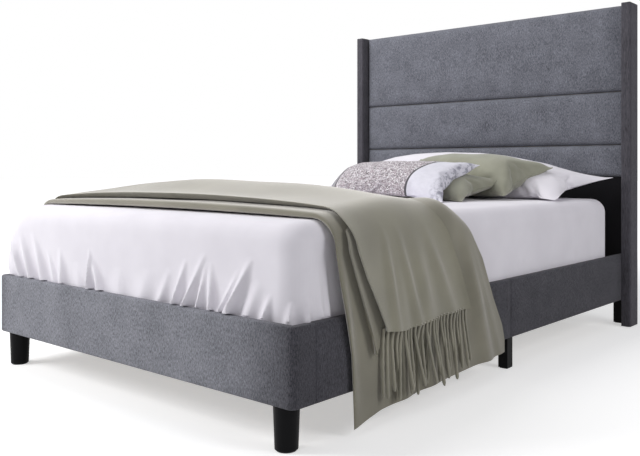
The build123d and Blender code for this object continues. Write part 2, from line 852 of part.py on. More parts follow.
def throw_band(inner, side_grow, top_grow, y_start, width, left_hem, right_hem):
    """A layer lying over the bed: inner is its distance outside the bed, and the rest its thickness."""
    low_right, low_left = (hang_x + inner, right_hem), (-hang_x - inner, left_hem)
    outer = inner + side_grow
    with BuildPart() as band:
        with BuildSketch(across(y_start)):
            with BuildLine():
                Line(low_left, (-hang_x - inner, shoulder_z))
                ThreePointArc(
                    (-hang_x - inner, shoulder_z),
                    flip(shoulder_middle(inner)),
                    (-shoulder_x, hang_top + inner),
                )
                Line((-shoulder_x, hang_top + inner), (shoulder_x, hang_top + inner))
                ThreePointArc(
                    (shoulder_x, hang_top + inner),
                    shoulder_middle(inner),
                    (hang_x + inner, shoulder_z),
                )
                Line((hang_x + inner, shoulder_z), low_right)
                Line(low_right, (hang_x + outer, right_hem))
                Line((hang_x + outer, right_hem), (hang_x + outer, shoulder_z))
                ThreePointArc(
                    (hang_x + outer, shoulder_z),
                    shoulder_middle((outer + inner + top_grow) / 2),
                    (shoulder_x, hang_top + inner + top_grow),
                )
                Line(
                    (shoulder_x, hang_top + inner + top_grow),
                    (-shoulder_x, hang_top + inner + top_grow),
                )
                ThreePointArc(
                    (-shoulder_x, hang_top + inner + top_grow),
                    flip(shoulder_middle((outer + inner + top_grow) / 2)),
                    (-hang_x - outer, shoulder_z),
                )
                Line((-hang_x - outer, shoulder_z), (-hang_x - outer, left_hem))
                Line((-hang_x - outer, left_hem), low_left)
            make_face()
        extrude(amount=-width)
    return band.part


def hanging_cloth(inner, y_top, width_top, z_top, y_hem, width_hem, z_hem, folds, top_depth, hem_depth):
    """The hanging end of a layer: a thin curtain whose folds deepen from z_top to the hem."""
    with BuildPart() as curtain:
        for y_start, width, z, depth in (
            (y_top, width_top, z_top, top_depth),
            (y_hem, width_hem, z_hem, hem_depth),
        ):
            inner_x, outer_x = hang_x + inner, hang_x + inner + throw_hang_thickness
            pitch = width / folds
            with BuildSketch(Plane.XY.offset(z)):
                with BuildLine():
                    for i in range(folds):
                        y = y_start + i * pitch
                        swing = depth if i % 2 == 0 else depth * trough_share
                        for x in (inner_x, outer_x):
                            ThreePointArc((x, y), (x + swing, y + pitch / 2), (x, y + pitch))
                    Line((inner_x, y_start), (outer_x, y_start))
                    Line((inner_x, y_start + width), (outer_x, y_start + width))
                make_face()
        loft(ruled=True)
    return curtain.part


lower_thickness = throw_hang_thickness
with BuildPart() as throw_lower:
    add(
        throw_band(
            0,
            lower_thickness,
            throw_lower_rise,
            foot_face + throw_lower_start,
            throw_lower_width,
            throw_left_hem_height,
            break_z,
        )
    )
    add(
        hanging_cloth(
            0,
            foot_face + throw_lower_start,
            throw_lower_width,
            break_z,
            foot_face + throw_lower_hem_start,
            throw_lower_hem_width,
            throw_lower_hem_height,
            throw_fold_count,
            throw_top_fold_depth,
            throw_fold_depth,
        )
    )
save(throw_lower.part, "throw_lower_layer")

upper_inner = throw_lower_rise + throw_layer_gap
upper_hang_inner = lower_thickness + throw_fold_depth + throw_layer_gap
with BuildPart() as throw_upper:
    with BuildSketch(across(foot_face + throw_upper_start)):
        with BuildLine():
            top_z = hang_top + upper_inner
            side_x = hang_x + upper_hang_inner
            skin = throw_hang_thickness
            Line((-side_x, throw_left_hem_height), (-side_x, shoulder_z))
            ThreePointArc(
                (-side_x, shoulder_z),
                flip(shoulder_middle((upper_hang_inner + upper_inner) / 2)),
                (-shoulder_x, top_z),
            )
            Line((-shoulder_x, top_z), (shoulder_x, top_z))
            ThreePointArc(
                (shoulder_x, top_z),
                shoulder_middle((upper_hang_inner + upper_inner) / 2),
                (side_x, shoulder_z),
            )
            Line((side_x, shoulder_z), (side_x, break_z))
            Line((side_x, break_z), (side_x + skin, break_z))
            Line((side_x + skin, break_z), (side_x + skin, shoulder_z))
            ThreePointArc(
                (side_x + skin, shoulder_z),
                shoulder_middle((upper_hang_inner + upper_inner + throw_upper_edge_rise) / 2 + skin),
                (shoulder_x, top_z + throw_upper_edge_rise),
            )
            ThreePointArc(
                (shoulder_x, top_z + throw_upper_edge_rise),
                (0, top_z + throw_upper_rise),
                (-shoulder_x, top_z + throw_upper_edge_rise),
            )
            ThreePointArc(
                (-shoulder_x, top_z + throw_upper_edge_rise),
                flip(
                    shoulder_middle(
                        (upper_hang_inner + upper_inner + throw_upper_edge_rise) / 2 + skin
                    )
                ),
                (-side_x - skin, shoulder_z),
            )
            Line((-side_x - skin, shoulder_z), (-side_x - skin, throw_left_hem_height))
            Line((-side_x - skin, throw_left_hem_height), (-side_x, throw_left_hem_height))
        make_face()
    extrude(amount=-throw_upper_width)
    add(
        hanging_cloth(
            upper_hang_inner,
            foot_face + throw_upper_start,
            throw_upper_width,
            break_z,
            foot_face + throw_upper_hem_start,
            throw_upper_hem_width,
            throw_upper_hem_height,
            throw_upper_fold_count,
            throw_top_fold_depth,
            throw_upper_fold_depth,
        )
    )
save(throw_upper.part, "throw_upper_layer")

tassel_x = hang_x + upper_hang_inner + tassel_tip_diameter / 2
tassel_first = foot_face + throw_upper_hem_start + tassel_edge_margin
tassel_pitch = (throw_upper_hem_width - 2 * tassel_edge_margin) / (tassel_count - 1)
tassels = []
for i in range(tassel_count):
    with BuildPart() as tassel:
        with BuildSketch(Plane.XY.offset(throw_upper_hem_height)):
            with Locations((tassel_x, tassel_first + i * tassel_pitch)):
                Circle(tassel_top_diameter / 2)
        with BuildSketch(Plane.XY.offset(throw_upper_hem_height - tassel_length)):
            with Locations((tassel_x, tassel_first + i * tassel_pitch)):
                Circle(tassel_tip_diameter / 2)
        loft()
    tassels.append(tassel.part)
save(Compound(tassels), "throw_fringe")


# Pillows: crowned bags with drawn-in sides, leaned back one on another towards the headboard
def pillow_outline(height, length_share, depth_share, corner_share, length, depth, pinch):
    """One level curve of a pillow as a flat face: four arcs between its corners."""
    corner_x = length / 2 * length_share * corner_share
    corner_y = depth / 2 * depth_share * corner_share
    side_x = (length / 2 - pinch) * length_share
    side_y = (depth / 2 - pinch) * depth_share
    with BuildSketch(Plane.XY.offset(height)) as outline:
        with BuildLine():
            ThreePointArc((-corner_x, -corner_y), (0, -side_y), (corner_x, -corner_y))
            ThreePointArc((corner_x, -corner_y), (side_x, 0), (corner_x, corner_y))
            ThreePointArc((corner_x, corner_y), (0, side_y), (-corner_x, corner_y))
            ThreePointArc((-corner_x, corner_y), (-side_x, 0), (-corner_x, -corner_y))
        make_face()
    return outline.sketch


def pillow_form(length, depth, crown, belly, pinch, length_shares, grow=0):
    """A pillow lying flat about its seam. grow fattens it evenly, for cutting its neighbours."""
    edge = pillow_edge_thickness / 2 + grow
    size = (length + 2 * grow, depth + 2 * grow, pinch)
    with BuildPart() as pillow:
        add(pillow_outline(-edge, 1, 1, 1, *size))
        extrude(amount=2 * edge)
        for rise in (crown, -belly):
            levels = zip(
                level_height_shares, length_shares, level_depth_shares, level_corner_shares
            )
            outlines = [
                pillow_outline(math.copysign(edge, rise) + rise * height_share, *shares, *size)
                for height_share, *shares in levels
            ]
            loft(sections=[outline.face() for outline in outlines])
    return pillow.part


def laid(pillow, depth, lean, turn, side, head_gap, lift):
    """A pillow leaned back and turned, with its front seam lift above the sheet."""
    run = depth * math.cos(math.radians(lean))
    rise = depth * math.sin(math.radians(lean))
    middle = (side, pad_front - head_gap - run / 2, sheet_top + rest_gap + lift + rise / 2)
    leaned = pillow.moved(Location((0, 0, 0), (lean, 0, 0)))
    return leaned.moved(Location(middle, (0, 0, turn)))


def clear_of(form, edge_form, place):
    """What a pillow keeps clear of in one behind it: that pillow, and all below its widest level."""
    pinch, length_shares = edge_form
    grown = laid(pillow_form(*form, pinch, length_shares, pillow_cut_gap), form[1], *place)
    size = (form[0] + 2 * pillow_cut_gap, form[1] + 2 * pillow_cut_gap, pinch)
    widest = pillow_outline(form[2] * level_height_shares[1], 1, 1, 1, *size)
    with BuildPart() as below:
        extrude(laid(widest, form[1], *place).face(), amount=mattress_thickness, dir=(0, 0, -1))
    return grown, below.part


def above_sheet(piece):
    """A pillow pressed flat where it would sink into the mattress."""
    box = piece.bounding_box()
    below = block(
        (box.min.X - rest_gap, box.max.X + rest_gap),
        (box.min.Y - rest_gap, box.max.Y + rest_gap),
        (mattress_base, sheet_top + rest_gap),
    )
    with BuildPart() as result:
        add(piece)
        add(below, mode=Mode.SUBTRACT)
    return result.part


pillow_plans = {
    "white_pillow": (
        (white_pillow_length, white_pillow_depth, white_pillow_crown, white_pillow_belly),
        (white_pillow_pinch, level_long_length_shares),
        (white_pillow_lean, 0, white_pillow_side, white_pillow_head_gap, white_pillow_lift),
    ),
    "sage_back_pillow": (
        (sage_back_length, sage_back_depth, sage_back_crown, sage_back_belly),
        (sage_back_pinch, level_length_shares),
        (sage_back_lean, 0, sage_back_side, sage_back_head_gap, sage_back_lift),
    ),
    "sage_front_pillow": (
        (sage_front_length, sage_front_depth, sage_front_crown, sage_front_belly),
        (sage_front_pinch, level_length_shares),
        (sage_front_lean, 0, sage_front_side, sage_front_head_gap, sage_front_lift),
    ),
    "patterned_pillow": (
        (patterned_length, patterned_depth, patterned_crown, patterned_belly),
        (patterned_pinch, level_length_shares),
        (patterned_lean, patterned_turn, patterned_side, patterned_head_gap, patterned_lift),
    ),
}

pillows_behind = []
for name, (form, edge_form, place) in pillow_plans.items():
    with BuildPart() as pillow:
        add(above_sheet(laid(pillow_form(*form, *edge_form), form[1], *place)))
        for behind in pillows_behind:
            add(behind, mode=Mode.SUBTRACT)
    save(pillow.part.solids().sort_by(SortBy.VOLUME)[-1], name)
    pillows_behind += clear_of(form, edge_form, place)
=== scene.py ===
import math

import bmesh
import bpy
import numpy as np
from mathutils import Matrix, Vector


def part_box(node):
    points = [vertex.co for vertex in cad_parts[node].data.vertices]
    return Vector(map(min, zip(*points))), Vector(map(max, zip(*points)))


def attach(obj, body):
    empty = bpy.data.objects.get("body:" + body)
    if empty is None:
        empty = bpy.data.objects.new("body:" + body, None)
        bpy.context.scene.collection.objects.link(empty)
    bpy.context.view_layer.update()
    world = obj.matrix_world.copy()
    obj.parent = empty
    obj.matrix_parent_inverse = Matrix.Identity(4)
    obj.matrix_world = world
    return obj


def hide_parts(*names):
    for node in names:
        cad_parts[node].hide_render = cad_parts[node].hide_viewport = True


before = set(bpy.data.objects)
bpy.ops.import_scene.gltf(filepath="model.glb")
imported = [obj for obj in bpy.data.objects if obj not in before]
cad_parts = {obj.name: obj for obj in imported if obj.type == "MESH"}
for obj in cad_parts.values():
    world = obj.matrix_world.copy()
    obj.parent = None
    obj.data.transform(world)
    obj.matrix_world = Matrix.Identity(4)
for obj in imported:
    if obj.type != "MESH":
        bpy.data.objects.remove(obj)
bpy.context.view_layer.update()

# Camera
# The photograph's own view: level, 0.68 m above the floor, from beyond the right foot corner. The
# two shifts stand for what was cropped off the picture, and the floor fills the view to its horizon.
camera_place = (1.979, -2.347, 0.678)
camera_turn = 40.08
picture_size = (640, 456)
picture_axis = (350, 168)


def select_only(*pieces):
    """Leaves only these pieces selected, with the first one active."""
    bpy.ops.object.select_all(action="DESELECT")
    for piece in pieces:
        piece.select_set(True)
    if pieces:
        bpy.context.view_layer.objects.active = pieces[0]


select_only()
bpy.ops.object.camera_add(location=camera_place, rotation=(math.pi / 2, 0, math.radians(camera_turn)))
camera = bpy.context.object
camera.data.sensor_width = 36.0
camera.data.lens = 44.0
camera.data.shift_x = (picture_size[0] / 2 - picture_axis[0]) / picture_size[0]
camera.data.shift_y = (picture_axis[1] - picture_size[1] / 2) / picture_size[0]
bpy.context.scene.camera = camera
bpy.context.scene.view_settings.view_transform = "Standard"

# Studio
# A white floor without walls, a big soft lamp high on the foot's left, a second one over the bed, weak
# ones in front and on the right, and an even pale sky. The camera and shiny pieces see plain white.
floor_half = 40.0
floor_paint = (0.72, 0.72, 0.72, 1)
floor_glow = 0.48
floor_glow_reach = (2.2, 4.2)
plain_white = (1, 1, 1, 1)
sky_light = (0.22, 0.22, 0.235)
# Each lamp: its place, what it points at, its width and its power.
lamps = {
    "key_lamp": ((-2.2, -3.1, 2.4), (-0.3, 0.1, 0.5), 1.6, 107.0),
    "front_lamp": ((1.4, -3.9, 1.9), (0.3, -0.3, 0.4), 0.9, 17.0),
    "fill_lamp": ((3.6, 0.0, 2.0), (0.5, 0.0, 0.3), 1.4, 39.0),
    "top_lamp": ((-1.1, 0.1, 3.3), (-0.3, 0.1, 0.0), 2.0, 46.0),
}


def finish_of(name, roughness, **sockets):
    """A new material: (material, its node tree, its shader), with uniform values on the shader."""
    material = bpy.data.materials.new(name)
    material.use_nodes = True
    shader = material.node_tree.nodes["Principled BSDF"]
    shader.inputs["Roughness"].default_value = roughness
    for socket, value in sockets.items():
        shader.inputs[socket.replace("_", " ")].default_value = value
    return material, material.node_tree, shader


def feed(tree, value, socket):
    """Joins another node's output to a socket, or sets the socket to a number or a colour."""
    if isinstance(value, (int, float)):
        socket.default_value = value
    elif isinstance(value, tuple):
        socket.default_value = (*value[:3], 1)
    else:
        tree.links.new(value, socket)


def maths(tree, operation, *values):
    """One sum of numbers or of other nodes' outputs."""
    node = tree.nodes.new("ShaderNodeMath")
    node.operation = operation
    for socket, value in zip(node.inputs, values):
        feed(tree, value, socket)
    return node.outputs[0]


def blend(tree, factor, below, above):
    """A colour that goes from one to another as the factor goes from 0 to 1."""
    mix = tree.nodes.new("ShaderNodeMix")
    mix.data_type = "RGBA"
    feed(tree, factor, mix.inputs["Factor"])
    feed(tree, below, mix.inputs["A"])
    feed(tree, above, mix.inputs["B"])
    return mix.outputs["Result"]


def seen_directly(tree):
    """One where the camera, a reflection or a clear piece looks at a surface, and nought for its light."""
    path = tree.nodes.new("ShaderNodeLightPath")
    most = maths(tree, "MAXIMUM", path.outputs["Is Camera Ray"], path.outputs["Is Glossy Ray"])
    return maths(tree, "MAXIMUM", most, path.outputs["Is Transmission Ray"])


bpy.ops.mesh.primitive_plane_add(size=2 * floor_half)
floor = bpy.context.object
floor.name = "studio_floor"
floor_material, tree, shader = finish_of(
    "white_floor", 1.0, Base_Color=floor_paint, Specular_IOR_Level=0.0, Emission_Color=plain_white
)
middle_out = tree.nodes.new("ShaderNodeTexCoord")
away = tree.nodes.new("ShaderNodeVectorMath")
away.operation = "LENGTH"
tree.links.new(middle_out.outputs["Object"], away.inputs[0])
whiten = tree.nodes.new("ShaderNodeMapRange")
whiten.inputs["From Min"].default_value, whiten.inputs["From Max"].default_value = floor_glow_reach
whiten.inputs["To Min"].default_value = floor_glow
tree.links.new(away.outputs["Value"], whiten.inputs["Value"])
glow = maths(tree, "MULTIPLY", seen_directly(tree), whiten.outputs["Result"])
tree.links.new(glow, shader.inputs["Emission Strength"])
floor.data.materials.append(floor_material)

sky = bpy.data.worlds.new("studio_sky")
bpy.context.scene.world = sky
sky.use_nodes = True
tree = sky.node_tree
sky_colour = blend(tree, seen_directly(tree), sky_light, plain_white)
tree.links.new(sky_colour, tree.nodes["Background"].inputs["Color"])

for name, (place, target, size, power) in lamps.items():
    aim = (Vector(target) - Vector(place)).to_track_quat("-Z", "Y").to_euler()
    bpy.ops.object.light_add(type="AREA", location=place, rotation=aim)
    lamp = bpy.context.object
    lamp.name = name
    lamp.data.size = size
    lamp.data.energy = power


# Timber, steel and plastic
# The boards are birch plywood, and slats, cleats, beam, posts and blocks are planed pine. Legs and
# stiles are sprayed satin black. Plates, bolts and screws are zinc plated, and glides are nylon.
def placed(tree, stretch=(1.0, 1.0, 1.0), source="Object"):
    """Coordinates of the piece itself, multiplied along each axis."""
    coordinates = tree.nodes.new("ShaderNodeTexCoord")
    mapping = tree.nodes.new("ShaderNodeMapping")
    mapping.inputs["Scale"].default_value = stretch
    tree.links.new(coordinates.outputs[source], mapping.inputs["Vector"])
    return mapping.outputs["Vector"]


def noise(tree, place, scale, detail=2.0, roughness=0.5):
    """Noise of scale patches per metre over these coordinates, about 0.3 to 0.7."""
    texture = tree.nodes.new("ShaderNodeTexNoise")
    texture.inputs["Scale"].default_value = scale
    texture.inputs["Detail"].default_value = detail
    texture.inputs["Roughness"].default_value = roughness
    tree.links.new(place, texture.inputs["Vector"])
    return texture.outputs["Fac"]


def ramp(tree, factor, stops, interpolation="LINEAR"):
    """A colour for a factor, by stops of (place, colour)."""
    steps = tree.nodes.new("ShaderNodeValToRGB")
    steps.color_ramp.interpolation = interpolation
    while len(steps.color_ramp.elements) < len(stops):
        steps.color_ramp.elements.new(0.5)
    for element, (place, colour) in zip(steps.color_ramp.elements, stops):
        element.position = place
        element.color = (*colour, 1)
    tree.links.new(factor, steps.inputs["Fac"])
    return steps.outputs["Color"]


def paint(tree, shader, factor, shades, low=0.35, high=0.65):
    """Colours a shader from its first shade to its second, as the factor goes from low to high."""
    colour = ramp(tree, factor, [(low, shades[0]), (high, shades[1])])
    tree.links.new(colour, shader.inputs["Base Color"])


def bump(tree, shader, height, distance, strength=1.0, under=None):
    """Relief of that many metres for heights from 0 to 1, over an earlier relief if one is given."""
    relief = tree.nodes.new("ShaderNodeBump")
    relief.inputs["Distance"].default_value = distance
    relief.inputs["Strength"].default_value = strength
    tree.links.new(height, relief.inputs["Height"])
    if under is not None:
        tree.links.new(under, relief.inputs["Normal"])
    tree.links.new(relief.outputs["Normal"], shader.inputs["Normal"])
    return relief.outputs["Normal"]


def timber(name, shades, grain, roughness):
    """Planed wood whose grain runs along the axis that the stretch draws out."""
    material, tree, shader = finish_of(name, roughness)
    lines = noise(tree, placed(tree, grain), 1.0, 6.0, 0.62)
    paint(tree, shader, lines, shades, 0.32, 0.68)
    bump(tree, shader, lines, 0.0004)
    return material


pine_shades = ((0.52, 0.34, 0.17), (0.72, 0.52, 0.3))
ply_shades = ((0.5, 0.36, 0.21), (0.64, 0.49, 0.31))
pine_roughness = 0.62
ply_roughness = 0.6
across_grain = (2.5, 60.0, 60.0)
along_grain = (60.0, 2.5, 60.0)
upright_grain = (60.0, 60.0, 2.5)
pine_across = timber("planed_pine_across", pine_shades, across_grain, pine_roughness)
pine_along = timber("planed_pine_along", pine_shades, along_grain, pine_roughness)
pine_upright = timber("planed_pine_upright", pine_shades, upright_grain, pine_roughness)
plywood_along = timber("birch_plywood_along", ply_shades, along_grain, ply_roughness)
plywood_across = timber("birch_plywood_across", ply_shades, across_grain, ply_roughness)

black_spray = (0.0045, 0.0045, 0.0052, 1)
spray_pores = (260.0, 260.0, 14.0)
black_wood, tree, shader = finish_of(
    "satin_black_wood", 0.42, Base_Color=black_spray, Specular_IOR_Level=0.08
)
bump(tree, shader, noise(tree, placed(tree, spray_pores), 1.0, 4.0), 0.00025)

zinc_shades = ((0.4, 0.41, 0.43), (0.56, 0.57, 0.58))
zinc_steel, tree, shader = finish_of("zinc_plated_steel", 0.38, Metallic=1.0)
flakes = noise(tree, placed(tree), 160.0, 3.0)
paint(tree, shader, flakes, zinc_shades)
bump(tree, shader, flakes, 0.00005)

nylon_shades = ((0.012, 0.012, 0.013), (0.022, 0.022, 0.023))
nylon, tree, shader = finish_of("black_nylon", 0.5)
specks = noise(tree, placed(tree), 900.0)
paint(tree, shader, specks, nylon_shades, 0.4, 0.6)
bump(tree, shader, specks, 0.0001)

node_finishes = {
    black_wood: ("front_leg", "mid_leg", "headboard_stile", "centre_legs"),
    pine_across: ("slats", "headboard_cross_rails"),
    pine_along: ("slat_cleat", "centre_beam"),
    pine_upright: ("wing_post", "leg_corner_blocks", "foot_return_blocks"),
    plywood_across: ("foot_rail_board", "headboard_backing_board"),
    plywood_along: ("side_board",),
    zinc_steel: ("plate", "bracket", "bolts", "screws", "fixings"),
    nylon: ("floor_glides",),
}
for material, words in node_finishes.items():
    for node_name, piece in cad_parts.items():
        if any(word in node_name for word in words):
            piece.data.materials.clear()
            piece.data.materials.append(material)


# Rail covers
# Melange linen over foam, stapled inside the boards. The foot cover turns both corners and meets
# the side covers at a seam, and each side has another seam half way. The sides carry darker shades,
# a painted shade, and the foot cover darkens into them at its corners, further on the right.
def linen(name, shades, roughness, thread, slub, painted_shade_pair=None):
    """Upholstery cloth: a plain weave of uneven upright yarns in two shades, with slubs.

    With a second, darker pair of shades, a painted shade, the cloth takes those where the mesh
    attribute "turned" is 1.
    """
    low, high = 0.34, 0.72
    material, tree, shader = finish_of(
        name, roughness, Specular_IOR_Level=0.12, Sheen_Weight=0.12, Sheen_Roughness=0.45
    )
    yarns = noise(tree, placed(tree, slub), 1.0, 4.0, 0.75)
    clouds = noise(tree, placed(tree), 11.0, 3.0)
    mixed = maths(tree, "MULTIPLY_ADD", clouds, 0.16, maths(tree, "MULTIPLY", yarns, 0.9))
    colour = ramp(tree, mixed, [(low, shades[0]), (high, shades[1])])
    if painted_shade_pair:
        turned = tree.nodes.new("ShaderNodeAttribute")
        turned.attribute_name = "turned"
        painted_shade_colour = ramp(tree, mixed, [(low, painted_shade_pair[0]), (high, painted_shade_pair[1])])
        colour = blend(tree, turned.outputs["Fac"], colour, painted_shade_colour)
    tree.links.new(colour, shader.inputs["Base Color"])
    split = tree.nodes.new("ShaderNodeSeparateXYZ")
    tree.links.new(placed(tree, (2 * math.pi / thread,) * 3), split.inputs["Vector"])
    warp = maths(tree, "SINE", maths(tree, "ADD", split.outputs["X"], split.outputs["Y"]))
    weft = maths(tree, "SINE", split.outputs["Z"])
    weave = maths(tree, "MULTIPLY_ADD", maths(tree, "MULTIPLY", warp, weft), 0.5, 0.5)
    first = bump(tree, shader, weave, thread * 0.3, 0.6)
    bump(tree, shader, yarns, 0.0008, 0.5, first)
    return material


foot_shades = ((0.056, 0.059, 0.069), (0.395, 0.401, 0.446))
# Darker shades for the side covers and the foot cover's corners: painted shade.
side_painted_shades = ((0.02, 0.02, 0.024), (0.115, 0.112, 0.13))
linen_roughness = 0.92
linen_thread = 0.0016
linen_slub = (340.0, 340.0, 120.0)
grey_linen = linen("grey_linen", foot_shades, linen_roughness, linen_thread, linen_slub, side_painted_shades)
cover_round = 0.006
corner_round = 0.02
seam_round = 0.0035
window_margin = 0.04
cloth_thickness = 0.0015
rail_puff = 0.002
puff_run = 0.03
foot_columns = 60
side_columns = 40
side_rows = 13
# How far before the left and the right corner the foot cover begins to darken into the sides' painted shade.
painted_shade_reach = (0.05, 0.32)
smooth_angle = math.radians(40)
touching = 1e-4


def add_block(name, low, high):
    """A cube primitive between two corners, with its place in its mesh."""
    low, high = Vector(low), Vector(high)
    select_only()
    bpy.ops.mesh.primitive_cube_add(size=1, location=(low + high) / 2)
    block = bpy.context.object
    block.name = block.data.name = name
    block.scale = high - low
    bpy.ops.object.transform_apply(location=True, rotation=False, scale=True)
    return block


def pick(kind, test):
    """In edit mode, leaves only the edges or faces selected that pass the test."""
    bpy.ops.mesh.select_mode(type=kind)
    bpy.ops.mesh.select_all(action="DESELECT")
    shape = bmesh.from_edit_mesh(bpy.context.object.data)
    for part in shape.edges if kind == "EDGE" else shape.faces:
        if test(part):
            part.select_set(True)
    bmesh.update_edit_mesh(bpy.context.object.data)


def runs_along(edge, axis):
    """Whether a straight edge runs along the axis numbered 0 to 2."""
    run = edge.verts[1].co - edge.verts[0].co
    return abs(run[axis]) > 0.99 * run.length


def lies_at(part, axis, place):
    """Whether every corner of an edge or face has that coordinate."""
    return all(abs(corner.co[axis] - place) < touching for corner in part.verts)


def bevel_edges(test, offset, segments):
    """Rounds the edges that pass the test."""
    pick("EDGE", test)
    bpy.ops.mesh.bevel(offset=offset, segments=segments, affect="EDGES")


def cut_along(axis, cuts, least=0.0):
    """Divides the straight edges along an axis that are longer than least, with the faces between them."""
    pick("EDGE", lambda e: runs_along(e, axis) and e.calc_length() > least)
    bpy.ops.mesh.subdivide(number_cuts=cuts)


def cut_across(axis, places):
    """Cuts the whole mesh with planes square to an axis."""
    normal = [0, 0, 0]
    normal[axis] = 1
    for place in places:
        point = [0, 0, 0]
        point[axis] = place
        bpy.ops.mesh.select_all(action="SELECT")
        bpy.ops.mesh.bisect(plane_co=point, plane_no=normal)


def points_of(piece):
    """A mesh's points as rows of x, y, z."""
    places = np.empty(3 * len(piece.data.vertices))
    piece.data.vertices.foreach_get("co", places)
    return places.reshape(-1, 3)


def move_points(piece, points):
    """Gives a mesh its points back."""
    piece.data.vertices.foreach_set("co", np.ascontiguousarray(points).ravel())
    piece.data.update()


def from_middle(places, low, high):
    """Places between two limits, as -1 at the lower one to 1 at the higher one."""
    return (2 * places - low - high) / (high - low)


def from_edge(places, low, high):
    """How far places lie inside the nearer of two limits."""
    return np.minimum(places - low, high - places)


def apply_modifier(piece, kind, **settings):
    """Adds a modifier with these settings and applies it."""
    select_only(piece)
    modifier = piece.modifiers.new(kind.lower(), kind)
    for setting, value in settings.items():
        setattr(modifier, setting, value)
    bpy.ops.object.modifier_apply(modifier=modifier.name)


def thicken(piece, thickness):
    """Gives a cloth its thickness, inwards from its outer face."""
    apply_modifier(piece, "SOLIDIFY", thickness=thickness, offset=-1.0)


def complete(piece, material, body, node):
    """Smooths a finished piece, gives it its material, hides the node it stands for and hangs it on its body.
    """
    select_only(piece)
    bpy.ops.object.shade_smooth_by_angle(angle=smooth_angle)
    piece.data.materials.clear()
    piece.data.materials.append(material)
    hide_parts(node)
    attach(piece, body)


def mark_painted_shade(piece, values):
    """Stores how far each point takes on the linen's second, darker pair of shades, a painted shade."""
    piece.data.attributes.new("turned", "FLOAT", "POINT").data.foreach_set("value", values)


foot_low, foot_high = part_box("foot_rail_cover")
side_low, side_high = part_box("right_foot_side_cover")
rail_inner = side_low.x
rail_thickness = side_high.x - side_low.x
window_low = foot_low.z + window_margin
window_high = foot_high.z - window_margin
inner_face = foot_low.y + rail_thickness
outer_x = foot_high.x


def is_return_edge(edge):
    """Whether an edge is an end of the foot board's inner face, from where the cover turns back."""
    return lies_at(edge, 1, inner_face) and abs(edge.verts[0].co.x + edge.verts[1].co.x) > 2 * rail_inner


def is_foot_corner(edge):
    """Whether an edge is one of the cover's two upright outer corners."""
    at_side = abs(abs(edge.verts[0].co.x) - outer_x) < touching
    return at_side and runs_along(edge, 2) and lies_at(edge, 1, foot_low.y)


def is_outer_rim(edge):
    """Whether an edge lies on the cover's outer outline, at its top or bottom."""
    level = lies_at(edge, 2, foot_low.z) or lies_at(edge, 2, foot_high.z)
    outside = all(
        abs(abs(v.co.x) - outer_x) < corner_round + touching and abs(v.co.x) > rail_inner + touching
        or abs(v.co.y - foot_low.y) < touching
        for v in edge.verts
    )
    return level and outside and not lies_at(edge, 1, foot_high.y) and not lies_at(edge, 1, inner_face)


def is_window(face):
    """Whether a face closes the cover's inner side, where it is open between its stapled edges."""
    middle = face.calc_center_median()
    inside = lies_at(face, 1, inner_face) or abs(abs(middle.x) - rail_inner) < touching
    return inside and window_low < middle.z < window_high


select_only()
bpy.ops.mesh.primitive_plane_add(size=1, location=(0, foot_low.y + rail_thickness / 2, foot_low.z))
foot_cover = bpy.context.object
foot_cover.name = foot_cover.data.name = "foot_rail_upholstery"
foot_cover.scale = (foot_high.x - foot_low.x, rail_thickness, 1)
bpy.ops.object.transform_apply(location=True, rotation=False, scale=True)
bpy.ops.object.mode_set(mode="EDIT")
cut_across(0, (-rail_inner, rail_inner))
pick("EDGE", is_return_edge)
bpy.ops.mesh.extrude_region_move(TRANSFORM_OT_translate={"value": (0, foot_high.y - inner_face, 0)})
bpy.ops.mesh.select_all(action="SELECT")
bpy.ops.mesh.extrude_region_move(TRANSFORM_OT_translate={"value": (0, 0, foot_high.z - foot_low.z)})
bpy.ops.mesh.select_all(action="SELECT")
bpy.ops.mesh.normals_make_consistent(inside=False)
bevel_edges(is_foot_corner, corner_round, 6)
bevel_edges(is_outer_rim, cover_round, 4)
cut_across(2, (window_low, window_high))
pick("FACE", is_window)
bpy.ops.mesh.delete(type="FACE")
cut_along(0, foot_columns, rail_inner)
bpy.ops.object.mode_set(mode="OBJECT")
thicken(foot_cover, cloth_thickness)
complete(foot_cover, grey_linen, "frame", "foot_rail_cover")
# From a little before each corner, further before the right one, the foot cover darkens into the sides'
# shades: painted shade.
across = points_of(foot_cover)[:, 0]
reach = np.where(across < 0, *painted_shade_reach)
painted_shade_share = (np.abs(across) - rail_inner + reach) / (outer_x - rail_inner + reach)
mark_painted_shade(foot_cover, np.clip(painted_shade_share, 0, 1) ** 2)


